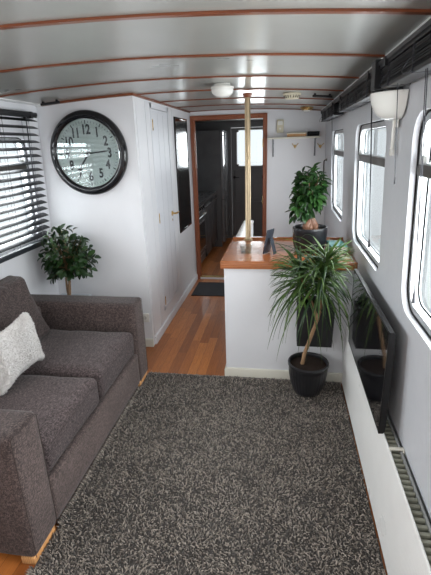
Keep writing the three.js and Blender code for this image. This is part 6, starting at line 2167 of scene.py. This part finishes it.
# ---------- outside ----------
def exterior():
    at = {s: (lambda u, sta, z, s=s: side_point(s, u, sta, z - EYE_Z, EYE_Z)) for s in (-1, 1)}
    zc = (WIN_Z0 + WIN_Z1) / 2
    for s, tag in ((1, "starboard"), (-1, "port")):
        p = at[s]
        g = Build()
        # rubbing strake low down, belting under the windows, cove under the roof's overhang
        g.prism([(70, 8), (86, 14), (92, 30), (92, 92), (86, 108), (70, 114)], lambda u, z, t: p(u, t, z), -756, 7396, 0)
        g.prism([(70, 846), (77, 849), (82, 857), (82, 873), (77, 881), (70, 884)], lambda u, z, t: p(u, t, z), -756, 7396, 1)
        g.prism([(70, 1838), (78, 1842), (88, 1852), (100, 1862), (104, 1872), (70, 1872)], lambda u, z, t: p(u, t, z), -752, 7392, 2)
        g.make(tag + "_strakes", ["navy", "rail", "cream_out"], angle=30)
        b = Build()
        for y in np.arange(-600, 7300, 420):
            if any(abs(y - m) < 480 for _, sd, m in WINDOWS if sd == s):
                continue
            b.prism([(70, 120), (73, 122), (73, 840), (70, 842)], lambda u, z, t, y=y: p(u, y - 18 + t, z), 0, 36)
            b.prism([(70, 890), (73, 892), (73, 1834), (70, 1836)], lambda u, z, t, y=y: p(u, y - 18 + t, z), 0, 36)
        for y in np.arange(-700, 7360, 210):
            c = p(92, float(y), 61)
            b.lathe([(0, 0), (8, 0), (7.4, 2.4), (4, 3.8), (0, 4.2)], c, "X", 12, 1, s)
        b.make(tag + "_straps", ["cream_out", "steel"], angle=30)
        w = Build()
        for _, sd, m in WINDOWS:
            if sd != s:
                continue
            # round-head screws about the frame, and a rain lip above it
            path = round_rect(WIN_W + 26, WIN_Z1 - WIN_Z0 + 26, WIN_R + 13, 6)
            ln = [0.0]
            for i in range(len(path)):
                a, b2 = path[i], path[(i + 1) % len(path)]
                ln.append(ln[-1] + math.hypot(b2[0] - a[0], b2[1] - a[1]))
            for k in range(26):
                d = ln[-1] * k / 26
                i = max(j for j in range(len(path)) if ln[j] <= d)
                t = (d - ln[i]) / max(1e-6, ln[i + 1] - ln[i])
                a, b2 = path[i], path[(i + 1) % len(path)]
                q = side_point(s, 77, m + a[0] + (b2[0] - a[0]) * t, a[1] + (b2[1] - a[1]) * t, zc)
                w.lathe([(0, 0), (5.2, 0), (4.6, 1.6), (2.4, 2.5), (0, 2.7)], q, "X", 10, 0, s)
            w.prism([(70, 1729), (96, 1722), (97, 1725), (71, 1735)], lambda u, z, t, m=m: p(u, t, z), m - 500, m + 500, 1)
        w.make(tag + "_window_screws", ["steel", "alu"], angle=40)
        q = Build()
        for y in ((5650, 6550) if s > 0 else (5650,)):
            c = p(70, y, 1430)
            q.lathe([(96, -1), (140, 0.5), (141, 6), (136, 13), (124, 17), (112, 16), (104, 11), (98, 9), (96, 6)], c, "X", 56, 0, s)
            # the glass is an opaque near-black disc: painted shade of the cabin behind it
            q.lathe([(0, 1.2), (98, 1.2), (98, 6), (60, 7.4), (0, 8)], c, "X", 40, 1, s)
            for k in range(8):
                t = 2 * math.pi * (k + 0.5) / 8
                q.lathe([(0, 0), (6.5, 0), (6, 3), (3, 4.5), (0, 5)], (c[0] + s * 13, c[1] + 128 * math.cos(t), c[2] + 128 * math.sin(t)), "X", 10, 0, s)
            q.lathe([(0, 0), (9, 0), (9, 14), (6, 17), (0, 17)], (c[0] + s * 10, c[1], c[2] - 118), "X", 14, 0, s)
        q.make(tag + "_portlights", ["brass_any", "shaded_dark_glass"], angle=40)
        # moulding on the roof's edge
        r = Build()
        zl = ceiling(1244) + 12
        r.prism([(1240, zl + 1), (1254, zl + 4), (1260, zl + 14), (1260, zl + 32), (1254, zl + 43), (1240, zl + 46)], lambda x, z, t: (s * x, t, z), -829, 7469)
        r.make(tag + "_roof_edge", "rail", angle=30)
        # feet pads and bolts under the grab rails
        f = Build()
        for y in np.arange(190, 6500, 1250):
            zt = ceiling(900) + 57
            f.box(s * 900 - 30, s * 900 + 30, float(y) - 78, float(y) + 78, zt - 2, zt + 5, 2, 2, 0, Matrix.Rotation(s * 0.11, 3, "Y"))
            for e in (-70, 70):
                f.lathe([(0, 0), (5, 0), (4, 3), (0, 4)], (s * 900, float(y) + e, zt + 4.5), "Z", 10, 0)
        f.make(tag + "_rail_feet", "brass_any")
    ends = Build()
    for y0, y1 in ((-829, -819), (7459, 7469)):
        xs = np.linspace(-1244, 1244, 17)
        v, fcs = [], []
        for x in xs:
            z = ceiling(min(1243.9, max(-1243.9, float(x)))) + 12
            v += [(float(x), y0, z + 1), (float(x), y1, z + 1), (float(x), y1, z + 46), (float(x), y0, z + 46)]
        for i in range(16):
            a, b = 4 * i, 4 * i + 4
            fcs += [(a, a + 1, b + 1, b), (a + 1, a + 2, b + 2, b + 1), (a + 2, a + 3, b + 3, b + 2), (a + 3, a, b, b + 3)]
        fcs += [(3, 2, 1, 0), (64, 65, 66, 67)]
        ends.add(v, fcs)
    ends.make("roof_end_mouldings", "rail_across", angle=30)
    vents = Build()
    for x, y in ((0, 640), (0, 2900), (-380, 5400), (380, 6300)):
        z = ceiling(x) + 57
        vents.lathe([(0, z - 2), (86, z - 2), (88, z + 3), (74, z + 8), (56, z + 12), (50, z + 20), (50, z + 34), (0, z + 34)], (x, y, 0), "Z", 36, 0)
        vents.lathe([(0, z + 30), (80, z + 30), (92, z + 36), (90, z + 44), (74, z + 54), (46, z + 60), (0, z + 63)], (x, y, 0), "Z", 40, 1)
        for k in range(6):
            t = 2 * math.pi * k / 6
            vents.lathe([(0, 0), (5, 0), (4, 2.5), (0, 3)], (x + 76 * math.cos(t), y + 76 * math.sin(t), z + 5), "Z", 10, 1)
    vents.make("roof_vents", ["cream_out", "brass_any"], angle=50)
    # end faces: upright planking strips, door casings, thresholds, handrails, a lamp aft
    for tag, y, s, x0, x1 in (("aft", -760.0, -1, -360, 360), ("forward", 7400.0, 1, -200, 410)):
        g = Build()
        top = 1850 if s > 0 else 1840
        for a, b, c, d in ((x0 - 62, x0 - 2, 0.6, top + 62), (x1 + 2, x1 + 62, 0.6, top + 62), (x0 - 62, x1 + 62, top + 2, top + 62)):
            cube(g, a, b, min(y, y + s * 14), max(y, y + s * 14), c, d, 3)
        g.make(tag + "_door_casing", "frame", angle=30)
        k = Build()
        xs = [x for x in np.arange(-1150, 1151, 115.0) if not x0 - 75 < x < x1 + 75]
        for x in xs:
            zt = ceiling(float(x)) - 14
            cube(k, float(x) - 10, float(x) + 10, min(y, y + s * 5), max(y, y + s * 5), 118, zt, 1.5)
        cube(k, -1196, x0 - 66, min(y, y + s * 12), max(y, y + s * 12), 3, 112, 4, 1)
        cube(k, x1 + 66, 1196, min(y, y + s * 12), max(y, y + s * 12), 3, 112, 4, 1)
        k.make(tag + "_end_planking", ["cream_out", "navy"], angle=30)
        t = Build()
        cube(t, x0 + 1, x1 - 1, min(y - s * 58, y + s * 10), max(y - s * 58, y + s * 10), 36, 43.5, 2)
        t.make(tag + "_threshold", "brass_long")
        h = Build()
        for x in ([-560, 560] if s < 0 else [-420, 620]):
            h.tube([(x, y + s * 2, 760), (x, y + s * 34, 764), (x, y + s * 46, 780), (x, y + s * 48, 830), (x, y + s * 48, 1430), (x, y + s * 46, 1480), (x, y + s * 34, 1496), (x, y + s * 2, 1500)], 10.5, 14)
            for z in (760, 1500):
                h.lathe([(0, 0), (26, 0), (26, 3), (20, 7), (0, 8)], (x, y, z), "Y", 24, 0, s)
        h.make(tag + "_handrails", "brass_any")
    lamp_ = Build()
    lamp_.lathe([(0, 0), (72, 0), (74, 4), (70, 14), (60, 18), (0, 18)], (820, -760, 1560), "Y", 36, 0, -1)
    lamp_.lathe([(0, 16), (56, 18), (54, 34), (42, 48), (20, 56), (0, 57)], (820, -760, 1560), "Y", 32, 1, -1)
    for k in range(4):
        t = math.pi / 4 * k
        c, s_ = math.cos(t), math.sin(t)
        lamp_.tube([(820 + c * r, -760 - d, 1560 + s_ * r) for r, d in ((-62, 16), (-58, 36), (-44, 52), (-20, 60), (0, 61), (20, 60), (44, 52), (58, 36), (62, 16))], 2.6, 6)
    lamp_.make("aft_bulkhead_lamp", ["brass_any", "opal"])
    hinges = Build()
    for z in (300, 960, 1640):
        for i in range(5):
            hinges.tube([(-366, -764, z - 40 + 16 * i), (-366, -764, z - 40 + 16 * i + 15)], 6, 10)
        cube(hinges, -392, -366, -762, -759, z - 38, z + 38, 1)
        for i in range(5):
            hinges.tube([(418, 7404, z - 40 + 16 * i), (418, 7404, z - 40 + 16 * i + 15)], 6, 10)
        cube(hinges, 418, 444, 7399, 7402, z - 38, z + 38, 1)
    hinges.make("end_door_hinges", "brass_any")


# near-black portlight glass: painted shade of the cabin behind the glass
MAT["shaded_dark_glass"] = plastic("portlight_glass_shaded", (0.012, 0.016, 0.020), 0.05, coat=0.8)
MAT["rail_across"] = wood("varnish_rail_across", (0.16, 0.055, 0.02), (0.40, 0.16, 0.06), "X")
exterior()
share_light()


bpy.context.view_layer.update()
